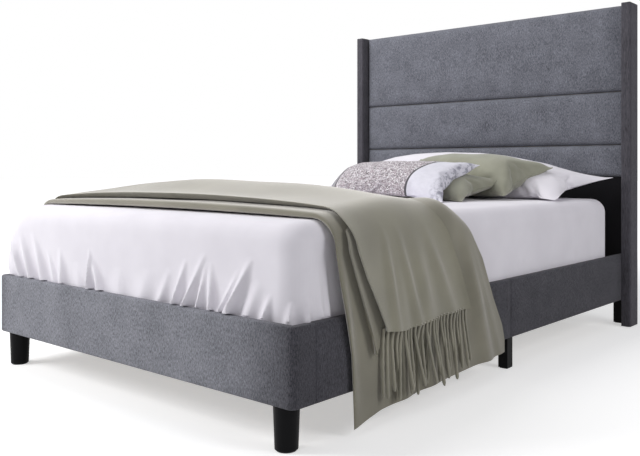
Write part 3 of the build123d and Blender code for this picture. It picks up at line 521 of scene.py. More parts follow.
def side_upholstery(node, name):
    """A sleeve of foam and cloth round one half of a side rail, open where it is stapled inside."""
    low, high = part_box(node)
    right = high.x > 0
    outer = high.x if right else low.x
    inner = low.x if right else high.x
    piece = add_block(name, low, high)
    bpy.ops.object.mode_set(mode="EDIT")
    bevel_edges(lambda e: runs_along(e, 1) and lies_at(e, 0, outer), cover_round, 4)
    bevel_edges(
        lambda e: (lies_at(e, 1, low.y) or lies_at(e, 1, high.y)) and not lies_at(e, 0, inner), seam_round, 3
    )
    cut_across(2, (window_low, window_high))
    pick("FACE", lambda f: lies_at(f, 0, inner) and window_low < f.calc_center_median().z < window_high)
    bpy.ops.mesh.delete(type="FACE")
    cut_along(1, side_columns, 0.5)
    cut_across(2, np.linspace(low.z, high.z, side_rows + 1)[1:-1])
    bpy.ops.object.mode_set(mode="OBJECT")
    points = points_of(piece)
    rise = from_middle(points[:, 2], low.z, high.z)
    ends = from_edge(points[:, 1], low.y, high.y)
    swell = rail_puff * np.clip(1 - rise**4, 0, 1) * np.clip(ends / puff_run, 0, 1)
    swell *= np.abs(points[:, 0] - outer) < touching
    points[:, 0] += swell if right else -swell
    move_points(piece, points)
    thicken(piece, cloth_thickness)
    complete(piece, grey_linen, "frame", node)
    # The side sleeve takes the darker shades all over: painted shade.
    mark_painted_shade(piece, np.ones(len(piece.data.vertices)))


for side in ("left", "right"):
    for half in ("foot", "head"):
        side_upholstery(f"{side}_{half}_side_cover", f"{side}_{half}_side_upholstery")

# Headboard pads
# Three channels of foam under one cloth, drawn down to the backing board along the seams between
# them. The cloth is the rails' linen in a deeper shade. Black lining closes the gap below.
headboard_shades = ((0.04, 0.042, 0.051), (0.285, 0.293, 0.338))
headboard_linen = linen("headboard_linen", headboard_shades, linen_roughness, linen_thread, linen_slub)
pad_round = 0.016
pad_crown = 0.013
pad_columns = 130
pad_rows = 16
pucker_depth = 0.0016
pucker_reach = 0.035
pucker_waves = (61, 97)


def channel_pad(node, name, phase):
    """One padded channel: flat at the back, rounded and crowned in front, puckered along its seams."""
    low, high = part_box(node)
    piece = add_block(name, low, high)
    bpy.ops.object.mode_set(mode="EDIT")
    bevel_edges(lambda e: lies_at(e, 1, low.y), pad_round, 6)
    cut_along(0, pad_columns, 0.5)
    cut_along(2, pad_rows, 0.05)
    bpy.ops.object.mode_set(mode="OBJECT")
    points = points_of(piece)
    across = from_middle(points[:, 0], low.x, high.x)
    rise = from_middle(points[:, 2], low.z, high.z)
    front = np.clip((high.y - points[:, 1]) / (high.y - low.y), 0, 1)
    seam = from_edge(points[:, 2], low.z, high.z)
    wave = np.sin(pucker_waves[0] * points[:, 0] + phase)
    wave = wave + np.sin(pucker_waves[1] * points[:, 0] + 2 * phase) * 0.7
    puckers = pucker_depth * wave * np.exp(-seam / pucker_reach)
    points[:, 1] -= front * (pad_crown * (1 - across**8) * (1 - rise**4) + puckers)
    move_points(piece, points)
    complete(piece, headboard_linen, "frame", node)


for channel, phase in (("upper", 0.4), ("middle", 1.9), ("lower", 3.1)):
    channel_pad(f"headboard_{channel}_pad", f"{channel}_channel", phase)

# Top return
# The upper channel's linen goes on over the frame's top edge to the dust cover, and is stapled
# behind. It hides the edges of the backing board and of the top rail.
top_cloth = 0.0016
top_clearance = 0.0004
top_round = 0.0007
pad_overlap = 0.003
back_overlap = 0.0006
pad_low, pad_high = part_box("headboard_upper_pad")
back_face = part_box("headboard_dust_cover")[1].y
top_low = (pad_low.x, pad_high.y - pad_overlap, pad_high.z + top_clearance)
top_high = (pad_high.x, back_face + back_overlap, pad_high.z + top_clearance + top_cloth)
top_return = add_block("upper_channel_return", top_low, top_high)
bpy.ops.object.mode_set(mode="EDIT")
bevel_edges(lambda e: runs_along(e, 0) and lies_at(e, 2, top_high[2]), top_round, 2)
cut_along(0, 60)
bpy.ops.object.mode_set(mode="OBJECT")
complete(top_return, headboard_linen, "frame", "headboard_upper_pad")


# Lining and dust cover
# Black non-woven cloth: one strip over the backing board below the channels, and one sheet over
# the whole back, held to the stiles and cross rails by rows of staples.
def felt(name, shades):
    """Non-woven cloth: pressed fibres, faintly cloudy, without sheen."""
    material, tree, shader = finish_of(name, 0.95, Specular_IOR_Level=0.1)
    fibres = noise(tree, placed(tree), 520.0, 4.0, 0.7)
    paint(tree, shader, fibres, shades)
    bump(tree, shader, fibres, 0.0004)
    return material


black_felt = felt("black_cloth", ((0.008, 0.008, 0.009), (0.02, 0.019, 0.022)))
held_margin = 0.03
slack_run = 0.05


def back_cloth(node, name, face, slack):
    """A cloth drawn over the headboard frame, a little slack between its staples."""
    low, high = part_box(node)
    piece = add_block(name, low, high)
    bpy.ops.object.mode_set(mode="EDIT")
    cut_along(0, 60)
    cut_along(2, 40)
    bpy.ops.object.mode_set(mode="OBJECT")
    points = points_of(piece)
    edge = np.minimum(from_edge(points[:, 0], low.x, high.x), from_edge(points[:, 2], low.z, high.z))
    wave = np.sin(21 * points[:, 0] + 3 * points[:, 2]) * np.sin(13 * points[:, 2] - 2 * points[:, 0])
    points[:, 1] += face * slack * (wave + 1) / 2 * np.clip((edge - held_margin) / slack_run, 0, 1)
    move_points(piece, points)
    complete(piece, black_felt, "frame", node)


back_cloth("headboard_dust_cover", "dust_cloth", 1, 0.003)
back_cloth("headboard_lining", "lining_cloth", -1, 0.0005)

# Wings
# A timber post on each side in a foam and cloth sleeve, closed at the top and open at the floor.
# A welted seam runs down both front edges. Their cloth is a smoother, browner grey.
wing_shades = ((0.036, 0.034, 0.04), (0.112, 0.107, 0.124))
wing_linen = linen("wing_linen", wing_shades, 0.88, 0.0012, (380.0, 380.0, 40.0))
wing_round = 0.005
welt_inset = 0.009
welt_height = 0.0016
welt_width = 0.0022


def wing(node, name):
    """The sleeve of one wing, with a raised welt beside both of its front edges."""
    low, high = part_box(node)
    piece = add_block(name, low, high)
    bpy.ops.object.mode_set(mode="EDIT")
    bevel_edges(lambda e: runs_along(e, 2), wing_round, 4)
    bevel_edges(lambda e: lies_at(e, 2, high.z), wing_round / 2, 3)
    cut_across(1, [low.y + welt_inset + step * welt_width for step in (-2, -1, 0, 1, 2)])
    pick("FACE", lambda f: lies_at(f, 2, low.z))
    bpy.ops.mesh.delete(type="FACE")
    bpy.ops.object.mode_set(mode="OBJECT")
    points = points_of(piece)
    middle = (low.x + high.x) / 2
    side = np.abs(np.abs(points[:, 0] - middle) - (high.x - low.x) / 2) < touching
    ridge = welt_height * np.exp(-(((points[:, 1] - low.y - welt_inset) / welt_width) ** 2)) * side
    points[:, 0] += np.sign(points[:, 0] - middle) * ridge
    move_points(piece, points)
    thicken(piece, cloth_thickness)
    complete(piece, wing_linen, "frame", node)


for side in ("left", "right"):
    wing(f"{side}_wing_cover", f"{side}_wing_upholstery")

# Webbing
# Two bands of woven polyester, ribbed across, run under the slats. They are stapled to each slat
# and hold the slats at their pitch.
webbing_shades = ((0.16, 0.16, 0.17), (0.3, 0.3, 0.31))
webbing_cloth, tree, shader = finish_of("grey_webbing", 0.8)
ribs = tree.nodes.new("ShaderNodeTexWave")
ribs.inputs["Scale"].default_value = 90.0
ribs.inputs["Distortion"].default_value = 1.0
ribs.bands_direction = "Y"
tree.links.new(placed(tree), ribs.inputs["Vector"])
paint(tree, shader, ribs.outputs["Fac"], webbing_shades, 0.2, 0.8)
bump(tree, shader, ribs.outputs["Fac"], 0.0004)
band_width = 0.025
band_round = 0.0004
band_sag = 0.0008
slat_gaps = 12
web_low, web_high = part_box("slat_webbing")
band_length = web_high.y - web_low.y
for name, start in (("left_webbing", web_low.x), ("right_webbing", web_high.x - band_width)):
    band = add_block(name, (start, web_low.y, web_low.z), (start + band_width, web_high.y, web_high.z))
    bpy.ops.object.mode_set(mode="EDIT")
    bevel_edges(lambda e: runs_along(e, 1), band_round, 2)
    cut_along(1, 8 * slat_gaps)
    bpy.ops.object.mode_set(mode="OBJECT")
    points = points_of(band)
    sag = np.sin(2 * math.pi * (points[:, 1] - web_low.y) / band_length * slat_gaps) ** 2
    points[:, 2] -= band_sag * sag
    move_points(band, points)
    complete(band, webbing_cloth, "frame", "slat_webbing")


# Mattress
# A block of foam in striped cotton ticking, glued round it and sewn at its edges. The sheet covers
# it, so only its underside shows between the slats.
core_low, core_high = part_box("mattress_core")
mattress_corner = 0.07
mattress_shoulder = 0.055
mattress_foot_round = 0.018
ticking_shades = ((0.62, 0.61, 0.58), (0.42, 0.43, 0.46))
ticking, tree, shader = finish_of("striped_ticking", 0.85)
stripes = tree.nodes.new("ShaderNodeTexWave")
stripes.inputs["Scale"].default_value = 12.0
tree.links.new(placed(tree), stripes.inputs["Vector"])
paint(tree, shader, stripes.outputs["Fac"], ticking_shades, 0.55, 0.62)
bump(tree, shader, noise(tree, placed(tree), 700.0), 0.0003)

mattress = add_block("mattress_block", core_low, core_high)
bpy.ops.object.mode_set(mode="EDIT")
bevel_edges(lambda e: runs_along(e, 2), mattress_corner, 10)
bevel_edges(lambda e: lies_at(e, 2, core_high.z), mattress_shoulder, 8)
bevel_edges(lambda e: lies_at(e, 2, core_low.z), mattress_foot_round, 4)
bpy.ops.object.mode_set(mode="OBJECT")
complete(mattress, ticking, "mattress", "mattress_core")

# Fitted sheet
# One white cotton sheet drawn over the mattress and tucked down behind the rails. The elastic
# gathers it, so upright folds run up from the rail, most at the foot and round the corners.
sheet_low, sheet_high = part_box("fitted_sheet")
bed_middle = (core_low.y + core_high.y) / 2
half_length = (core_high.y - core_low.y) / 2
half_width = (core_high.x - core_low.x) / 2
straight_x = half_width - mattress_corner
straight_y = half_length - mattress_corner
corner_run = mattress_corner * math.pi / 2
side_start = straight_x + corner_run
rail_top = foot_high.z
sheet_step = 0.012
sheet_margin = 0.002
sheet_cloth = 0.001
side_height = 0.2
sheet_crown = 0.008
crown_waves = 0.0015
crown_edge = 0.03
fine_height = 0.47
foot_fullness = 1.35
deepest_fold = 0.037
fold_taper = 0.35
steep_flank = 1.35
soft_flank = 0.85
behind_rail = 0.004
foot_slack = 0.015
side_slack = 0.0015
fold_fade = 0.06
# Where the sheet stands off the mattress at the left foot corner: place round the bed, half width,
# height over the rail and how far out.
corner_swell = (-0.72, 0.14, 0.21, 0.04)
swell_start = 0.01
# Each gather: its place round the bed at the rail and at its top, from the middle of the foot, its
# height over the floor, its half width at the rail and how far it stands out there.
sheet_folds = (
    (-0.76, -0.8, 0.43, 0.02, 0.014), (-0.70, -0.75, 0.44, 0.02, 0.016),
    (-0.642, -0.705, 0.44, 0.018, 0.02), (-0.585, -0.656, 0.45, 0.018, 0.022),
    (-0.52, -0.608, 0.46, 0.02, 0.025), (-0.441, -0.545, 0.465, 0.022, 0.026),
    (-0.39, -0.455, 0.41, 0.014, 0.014), (-0.335, -0.38, 0.42, 0.02, 0.022),
    (-0.25, -0.28, 0.38, 0.03, 0.01), (-0.166, -0.206, 0.43, 0.013, 0.03),
    (-0.112, -0.195, 0.405, 0.02, 0.026), (-0.03, -0.05, 0.38, 0.04, 0.012),
    (0.08, 0.1, 0.39, 0.045, 0.012), (0.17, 0.2, 0.4, 0.022, 0.014),
    (0.245, 0.27, 0.43, 0.016, 0.026), (0.292, 0.352, 0.455, 0.018, 0.028),
    (0.338, 0.36, 0.43, 0.014, 0.018), (0.395, 0.375, 0.43, 0.018, 0.022),
    (0.43, 0.485, 0.42, 0.013, 0.02), (0.466, 0.532, 0.455, 0.018, 0.034),
    (0.53, 0.56, 0.4, 0.03, 0.016), (0.585, 0.6, 0.37, 0.014, 0.016),
    (0.655, 0.66, 0.355, 0.01, 0.015), (0.695, 0.7, 0.365, 0.011, 0.013),
    (0.742, 0.728, 0.47, 0.009, 0.007), (0.767, 0.753, 0.47, 0.009, 0.007),
    (0.9, 0.88, 0.42, 0.03, 0.004), (1.62, 1.6, 0.44, 0.025, 0.004),
    (1.775, 1.77, 0.48, 0.008, 0.005), (2.2, 2.24, 0.46, 0.025, 0.004),
    (2.38, 2.43, 0.47, 0.02, 0.004), (2.56, 2.58, 0.48, 0.018, 0.004),
    (-1.5, -1.46, 0.46, 0.025, 0.004), (-1.9, -1.93, 0.45, 0.022, 0.004),
    (-2.3, -2.36, 0.47, 0.02, 0.004),
)


def round_the_bed(points):
    """How far round the mattress points are from the middle of its foot, to the right, and their way out."""
    x, y = np.abs(points[:, 0]), points[:, 1] - bed_middle
    near_x, near_y = np.minimum(x, straight_x), np.clip(y, -straight_y, straight_y)
    out_x, out_y = x - near_x, y - near_y
    reach = np.maximum(np.hypot(out_x, out_y), 1e-6)
    out_x, out_y = out_x / reach, out_y / reach
    turn = np.arctan2(out_x, -out_y)
    along_foot = near_x + mattress_corner * turn
    along_side = side_start + (near_y + straight_y)
    head_corner = mattress_corner * (turn - math.pi / 2)
    along_head = side_start + 2 * straight_y + head_corner + (straight_x - near_x)
    round_it = np.where(y > -straight_y, along_side, along_foot)
    round_it = np.where(y > straight_y, along_head, round_it)
    side = np.sign(points[:, 0])
    return side * round_it, side * out_x, out_y


def is_gathered(face):
    """Whether a face lies low at the foot, where the gathers need a finer mesh."""
    middle = face.calc_center_median()
    return middle.y < core_low.y + 2 * mattress_corner and middle.z < fine_height


fitted = add_block(
    "fitted_cotton_sheet",
    (sheet_low.x, core_low.y - sheet_margin, sheet_low.z),
    (sheet_high.x, core_high.y + sheet_margin, sheet_high.z),
)
bpy.ops.object.mode_set(mode="EDIT")
bevel_edges(lambda e: runs_along(e, 2), mattress_corner, 12)
bevel_edges(lambda e: lies_at(e, 2, sheet_high.z), mattress_shoulder, 7)
pick("FACE", lambda f: lies_at(f, 2, sheet_low.z))
bpy.ops.mesh.delete(type="FACE")
cut_along(0, round(2 * straight_x / sheet_step), 0.5)
cut_along(1, round(2 * straight_y / sheet_step), 0.5)
cut_along(2, round(side_height / sheet_step), side_height / 2)
pick("FACE", is_gathered)
bpy.ops.mesh.subdivide(number_cuts=2)
bpy.ops.object.mode_set(mode="OBJECT")
points = points_of(fitted)
round_it, out_x, out_y = round_the_bed(points)
over_rail = points[:, 2] - rail_top
swing = np.zeros(len(points))
for low_place, top_place, height, width, depth in sheet_folds:
    climb = np.clip(over_rail / (height - rail_top), 0, 1)
    across = round_it - low_place - (top_place - low_place) * climb
    across = across / (width * (1 - fold_taper * climb))
    across = np.where(across > 0, steep_flank * across, soft_flank * across)
    fullness = foot_fullness if abs(low_place) < side_start else 1.0
    swing += fullness * depth * (1 - climb) ** 1.1 * np.exp(-np.abs(across) ** 1.8)
swing = np.minimum(swing, deepest_fold)
below = over_rail < behind_rail
swing = np.where(below, np.minimum(swing, foot_slack), swing)
swing = np.where(below & (np.abs(round_it) > side_start), np.minimum(swing, side_slack), swing)
swell_place, swell_width, swell_height, swell_depth = corner_swell
swell = swell_depth * np.exp(-(((round_it - swell_place) / swell_width) ** 2))
swell *= np.sin(np.clip((points[:, 2] - rail_top + swell_start) / swell_height, 0, 1) * math.pi) ** 0.8
on_edge = np.hypot(out_x, out_y) > 0.5
swing = (swing + swell) * on_edge * np.clip((sheet_high.z - points[:, 2]) / fold_fade, 0, 1)
points[:, 0] += out_x * swing
points[:, 1] += out_y * swing
inward = np.clip(1 - (points[:, 0] / half_width) ** 2, 0, 1)
inward = inward * np.clip(1 - ((points[:, 1] - bed_middle) / half_length) ** 4, 0, 1)
top = np.clip((points[:, 2] - sheet_high.z + crown_edge) / crown_edge, 0, 1)
soft = np.sin(9 * points[:, 0] + 4 * points[:, 1]) * np.sin(7 * points[:, 1] - 3 * points[:, 0])
points[:, 2] += top * inward * (sheet_crown + crown_waves * soft)
move_points(fitted, points)
thicken(fitted, sheet_cloth)


def cotton(name, shades, thread, sheen, slub_depth):
    """Plain woven cotton: a fine even weave and faint broad clouds of shade."""
    material, tree, shader = finish_of(name, 0.88, Specular_IOR_Level=0.2, Sheen_Weight=sheen)
    paint(tree, shader, noise(tree, placed(tree), 6.0, 3.0), shades)
    yarns = noise(tree, placed(tree, (1 / thread,) * 3), 1.0, 2.0)
    bump(tree, shader, yarns, slub_depth, 0.7)
    return material


cotton_thread = 0.0012
white_shades = ((0.765, 0.74, 0.79), (0.815, 0.79, 0.84))
white_cotton = cotton("white_cotton", white_shades, cotton_thread, 0.1, 0.0004)
complete(fitted, white_cotton, "mattress", "fitted_sheet")

# Throw
# One soft sage blanket, folded lengthwise into a wide lower layer and a narrower upper one, laid
# across the bed near its foot. The right ends hang: the lower one to the floor, the upper to a fringe.
foot_face = foot_low.y
rest_gap = 0.0012
throw_cloth = 0.0022
throw_step = 0.0125
shoulder = 0.08
rail_clear = 0.003
hang_x = foot_high.x + rail_clear
hang_top = sheet_high.z + rest_gap
shoulder_x = hang_x - shoulder
shoulder_z = hang_top - shoulder
shoulder_run = shoulder * math.pi / 2
fold_top = shoulder_z + 0.05
left_hem = 0.33
left_stand = 0.0065
right_stand = 0.006
# Over the sheet's line on the bed: where each layer starts, how thick it is folded and how it crowns.
under_level = 0.0015
lower_thick = 0.0215
lower_puff = 0.024
strip_level_z = 0.0255
strip_thick = 0.008
upper_level_z = 0.0275
upper_roll = 0.01
upper_roll_crown = 0.008
upper_crown = 0.044
# Beside the bed: how far apart a cloth's two sides are at its front fold and behind it, and how much the
# upper layer stands out over the strip and at its rear edge.
strip_fold = (0.02, 0.003)
upper_fold = (0.024, 0.007)
over_strip = 0.004
rear_rim = 0.015


def over_bed(run):
    """The line across the bed under the throw, by distance from the middle: x, z and the way out."""
    away, side = np.abs(run), np.sign(run)
    turn = np.clip((away - shoulder_x) / shoulder, 0, math.pi / 2)
    fall = np.maximum(away - shoulder_x - shoulder_run, 0)
    x = np.minimum(away, shoulder_x) + shoulder * np.sin(turn)
    z = hang_top - shoulder + shoulder * np.cos(turn) - fall
    z = z + sheet_crown * np.clip(1 - (x / half_width) ** 2, 0, 1)
    return side * x, z, side * np.sin(turn), np.cos(turn)


def along_table(height, table):
    """A place read from a short table of (height, place)."""
    heights, places = zip(*sorted(table))
    return np.interp(height, heights, places)


# Where each layer's edges run, as (height over the floor, distance from the foot rail), and its hem,
# as (distance from the foot rail, height over the floor).
lower_front = ((0.02, 0.206), (0.212, 0.19), (0.391, 0.15), (0.472, 0.136), (0.55, 0.145))
lower_rear = ((0.075, 0.978), (0.141, 0.962), (0.282, 0.897), (0.397, 0.839), (0.517, 0.742), (0.56, 0.7))
lower_hem = ((0.206, 0.02), (0.322, 0.044), (0.554, 0.06), (0.6, 0.06), (0.976, 0.078))
strip_front = ((0.2, 0.28), (0.344, 0.22), (0.472, 0.165), (0.51, 0.172), (0.548, 0.27))
strip_rear = ((0.2, 0.3), (0.25, 0.35), (0.4, 0.42), (0.56, 0.42))
strip_hem = ((0.29, 0.2), (0.42, 0.2))
upper_front = ((0.25, 0.305), (0.324, 0.266), (0.393, 0.226), (0.472, 0.188), (0.53, 0.178), (0.56, 0.19))
upper_rear = ((0.25, 0.726), (0.376, 0.67), (0.469, 0.617), (0.554, 0.56))
upper_hem = ((0.305, 0.254), (0.397, 0.243), (0.49, 0.247), (0.591, 0.252), (0.726, 0.257))
# Each hanging fold: its distance from the foot rail at its top and at the hem, its half width, and
# how far it stands out at its top and at the hem.
lower_folds = (
    (0.14, 0.215, 0.03, 0.018, 0.003),
    (0.36, 0.43, 0.04, 0.008, 0.008),
    (0.46, 0.56, 0.04, 0.01, 0.01),
    (0.72, 0.88, 0.04, 0.018, 0.014),
    (0.74, 0.975, 0.02, 0.006, 0.004),
)
upper_folds = (
    (0.315, 0.36, 0.02, 0.012, 0.01),
    (0.372, 0.468, 0.022, 0.012, 0.012),
    (0.43, 0.55, 0.03, 0.004, 0.004),
    (0.5, 0.65, 0.03, 0.012, 0.008),
)
lower_fold_end = 0.02
upper_fold_end = 0.25
fold_top_width = 0.6
fold_onset = 2.2


def hanging_folds(y, z, folds, hem_z):
    """How far these folds stand out of the hanging cloth."""
    fall = np.clip((fold_top - z) / (fold_top - hem_z), 0, 1)
    out = np.zeros(len(y))
    for top_y, hem_y, width, top_depth, hem_depth in folds:
        place = top_y + (hem_y - top_y) * fall
        off = (y - foot_face - place) / (width * (fold_top_width + (1 - fold_top_width) * fall))
        depth = top_depth + (hem_depth - top_depth) * fall**2
        out += depth * np.exp(-(off**2)) * np.clip(fall * fold_onset, 0, 1)
    return out


def lower_out(y, z):
    """How far the lower layer's outer face stands out of the hang line."""
    return right_stand + hanging_folds(y, z, lower_folds, lower_fold_end)


def over_lower(y, z, run, layers):
    """How far out a layer starts that hangs over the lower one, with so many cloths between."""
    return np.where(run > 0, lower_out(y, z), left_stand) + layers * throw_cloth


def fold_round(share, thick, flat):
    """How far apart a folded cloth's two sides are: full at its front fold, flatter behind."""
    return flat + (thick - flat) * np.exp(-share / 0.16)


def lower_level(share, side, x):
    """The lower layer on the bed: flat below, pillowy above, and full behind at the right shoulder."""
    puff = lower_puff * np.exp(-(((share - 0.9) / 0.1) ** 2) - ((x - shoulder_x - 0.02) / 0.16) ** 2)
    return under_level + side * (lower_thick * (1 - np.clip(share, 0, 1) ** 6) ** 0.5 + puff)


def lower_stand(share, side, y, z, run):
    """The lower layer where it hangs: the under side close to the bed, the upper one with the folds."""
    return under_level + side * (over_lower(y, z, run, 0) - under_level)


def strip_level(share, side, x):
    """The turned-under strip on the bed, between the two layers."""
    return strip_level_z + side * strip_thick * np.clip(1 - (x / hang_x) ** 2, 0.3, 1)


def strip_stand(share, side, y, z, run):
    """The turned-under strip where it hangs over the lower layer."""
    return over_lower(y, z, run, 1) + side * fold_round(share, *strip_fold)


def upper_level(share, side, x):
    """The upper layer on the bed: a thin roll at its front and a crown behind it."""
    across = np.clip(1 - (x / hang_x) ** 2, 0, 1)
    roll = upper_roll + upper_roll_crown * across**0.5 * np.exp(-share / 0.5)
    crown = upper_crown * across**0.8 * np.sin(np.clip(share, 0, 1) * math.pi * 0.8) ** 2
    return upper_level_z + side * (roll + crown)


def upper_stand(share, side, y, z, run):
    """The upper layer where it hangs, clear of the strip and of the lower one's folds."""
    under = over_lower(y, z, run, 2)
    under += np.where(run > 0, over_strip, 0.0) * np.exp(-share / 0.3)
    folds = np.where(run > 0, hanging_folds(y, z, upper_folds, upper_fold_end), 0.0)
    rim = rear_rim * np.exp((share - 1) / 0.04)
    return under + side * (fold_round(share, *upper_fold) + folds + rim)


# Each layer: front and rear edges, hem and its lowest height, height on the bed, place where it
# hangs, how far the under side reaches, and how far the front fold overhangs, on the bed and beside it.
throw_layers = {
    "lower": (lower_front, lower_rear, lower_hem, 0.02, lower_level, lower_stand, 0.94, 0.0, 0.012),
    "strip": (strip_front, strip_rear, strip_hem, 0.2, strip_level, strip_stand, 0.95, 0.01, 0.02),
    "upper": (upper_front, upper_rear, upper_hem, 0.243, upper_level, upper_stand, 0.94, 0.03, 0.026),
}
throw_rows = round(2.0 / throw_step)
fold_share = 0.1
hem_reach = 0.25
ripple_depth = 0.0025


def folded_layer(name, front, rear, hem, lowest, level, stand, under_share, overhang, side_overhang):
    """A cloth folded once along its front edge, draped over the bed: under side, fold and upper side."""
    right_end = shoulder_x + shoulder_run + shoulder_z - lowest
    left_end = shoulder_x + shoulder_run + shoulder_z - left_hem
    columns = round((right_end + left_end) / throw_step)
    select_only()
    bpy.ops.mesh.primitive_grid_add(x_subdivisions=columns, y_subdivisions=throw_rows, size=1)
    piece = bpy.context.object
    piece.name = piece.data.name = f"{name}_throw_layer"
    points = points_of(piece)
    run = -left_end + (points[:, 0] + 0.5) * (right_end + left_end)
    turn = 2 * (points[:, 1] + 0.5) - 1
    side = 0.5 + 0.5 * np.sin(np.clip(turn / fold_share, -1, 1) * math.pi / 2)
    share = np.abs(turn)
    share = np.where(share < fold_share, share**2 / (2 * fold_share), share - fold_share / 2)
    share = (share / (1 - fold_share / 2)) ** 1.3
    share = np.where(turn < 0, share * under_share, share)
    x, z, out_x, out_z = over_bed(run)
    reached = np.where(run > 0, z, hang_top)
    y_front, y_rear = along_table(reached, front), along_table(reached, rear)
    y = y_front + (y_rear - y_front) * share
    near_hem = np.clip(1 - (right_end - run) / hem_reach, 0, 1) * (run > 0)
    z = z + near_hem * (along_table(y, hem) - lowest)
    y = y + foot_face
    flat = np.clip(out_z, 0, 1) ** 1.5
    ripple = ripple_depth * np.sin(11 * x + 5 * y) * np.sin(17 * y - 4 * x) * np.clip(share * 4, 0, 1)
    pressed = 1 - 0.5 * (1 - np.clip(1 - (x / hang_x) ** 2, 0, 1) ** 0.5) * np.exp(-share / 0.35)
    away = flat * (level(share, side, x) * pressed + ripple) + (1 - flat) * stand(share, side, y, z, run)
    points[:, 0] = x + out_x * away
    points[:, 1] = y + (overhang * flat + side_overhang * (1 - flat)) * (1 - side) * np.exp(-share / 0.1)
    points[:, 2] = z + out_z * away
    move_points(piece, points)
    bpy.ops.object.mode_set(mode="EDIT")
    bpy.ops.mesh.select_all(action="SELECT")
    bpy.ops.mesh.normals_make_consistent(inside=False)
    bpy.ops.object.mode_set(mode="OBJECT")
    thicken(piece, throw_cloth)
    return piece


def wool(name, shades, nap_depth):
    """A soft brushed blanket: a fine nap with sheen over broad clouds of shade."""
    sheen = {"Sheen_Weight": 1.0, "Sheen_Roughness": 0.5, "Sheen_Tint": (1, 0.97, 0.93, 1)}
    material, tree, shader = finish_of(name, 0.9, Specular_IOR_Level=0.15, **sheen)
    nap = noise(tree, placed(tree), 520.0, 3.0, 0.6)
    clouds = noise(tree, placed(tree), 7.0, 3.0)
    mixed = maths(tree, "MULTIPLY_ADD", clouds, 0.6, maths(tree, "MULTIPLY", nap, 0.4))
    paint(tree, shader, mixed, shades, 0.38, 0.62)
    bump(tree, shader, nap, nap_depth, 0.6)
    return material


throw_shades = ((0.218, 0.209, 0.16), (0.278, 0.266, 0.202))
# The lower layer and the turned-under strip take the same wool in darker shades: painted shade, for the shade
# they lie in beside and under the upper layer.
painted_shade_throw_shades = ((0.185, 0.175, 0.132), (0.24, 0.226, 0.17))
nap_depth = 0.0006
sage_wool = wool("sage_throw", throw_shades, nap_depth)
sage_painted_shade = wool("sage_throw_painted_shade", painted_shade_throw_shades, nap_depth)
lower_throw, strip_throw, upper_throw = (folded_layer(name, *layer) for name, layer in throw_layers.items())
# The lower layer and the strip wear the darker copy of the wool, a painted shade.
complete(lower_throw, sage_painted_shade, "throw", "throw_lower_layer")
complete(strip_throw, sage_painted_shade, "throw", "throw_lower_layer")
complete(upper_throw, sage_wool, "throw", "throw_upper_layer")

# Fringe
# The warp ends of the upper layer, twisted together in tassels that hang over the lower layer. Each
# starts at the hem and sways a little its own way.
tassel_count = 25
tassel_radius = 0.0042
tassel_tip_radius = 0.0052
tassel_length = 0.178
tassel_sides = 10
tassel_rings = 23
tassel_turns = 3.0
tassel_spread = (0.006, 0.009)
length_change = (0.012, 0.008)
sway_change = (0.024, 0.01)
fringe_start = 0.318
fringe_end = 0.716
hem_overlap = 0.006
fringe_wool = wool("sage_fringe", ((0.25, 0.24, 0.19), (0.32, 0.305, 0.24)), 0.0002)
select_only()
bpy.ops.mesh.primitive_cylinder_add(vertices=tassel_sides, radius=1.0, depth=1.0, location=(0, 0, -0.5))
tassel = bpy.context.object
bpy.ops.object.transform_apply(location=True, rotation=False, scale=True)
bpy.ops.object.mode_set(mode="EDIT")
cut_along(2, tassel_rings)
bpy.ops.object.mode_set(mode="OBJECT")
tassel_shape = points_of(tassel)
tassels = []
for number in range(tassel_count):
    copy = tassel.copy()
    copy.data = tassel.data.copy()
    bpy.context.scene.collection.objects.link(copy)
    points = tassel_shape.copy()
    fall = -points[:, 2]
    length = tassel_length + length_change[0] * math.sin(2.3 * number)
    length = length + length_change[1] * math.sin(5.1 * number)
    start = fringe_start + (fringe_end - fringe_start) * number / (tassel_count - 1)
    hem = float(np.interp(start, *zip(*upper_hem)))
    twist = tassel_turns * 2 * math.pi * fall + number
    radius = (tassel_radius + (tassel_tip_radius - tassel_radius) * fall) * (1 + 0.1 * np.cos(2 * twist))
    radius = radius * np.clip((1.03 - fall) / 0.06, 0.3, 1)
    angle = np.arctan2(points[:, 1], points[:, 0])
    ring = np.hypot(points[:, 0], points[:, 1])
    sway = sway_change[0] * math.sin(2.4 * number + 0.6) + sway_change[1] * math.sin(3.9 * number)
    y = foot_face + start + (0.012 - 0.03 * math.exp(-number / 3)) * fall + sway * fall**1.3
    z = hem + hem_overlap - length * fall
    at_hem = (np.array([foot_face + start]), np.array([hem]), np.array([1.0]))
    top_out = float(upper_stand(np.array([0.5]), 1.0, *at_hem)[0])
    spread = tassel_spread[0] + tassel_spread[1] * (number % 3)
    out = lower_out(y, z) + throw_cloth + tassel_tip_radius + spread * fall
    out = out + (top_out - out) * np.clip(1 - fall / 0.35, 0, 1) ** 2
    points[:, 0] = hang_x + out + radius * ring * np.cos(angle)
    points[:, 1] = y + radius * ring * np.sin(angle)
    points[:, 2] = z
    move_points(copy, points)
    tassels.append(copy)
bpy.data.objects.remove(tassel)
select_only(*tassels)
bpy.ops.object.join()
fringe = bpy.context.object
fringe.name = fringe.data.name = "throw_tassels"
complete(fringe, fringe_wool, "throw", "throw_fringe")

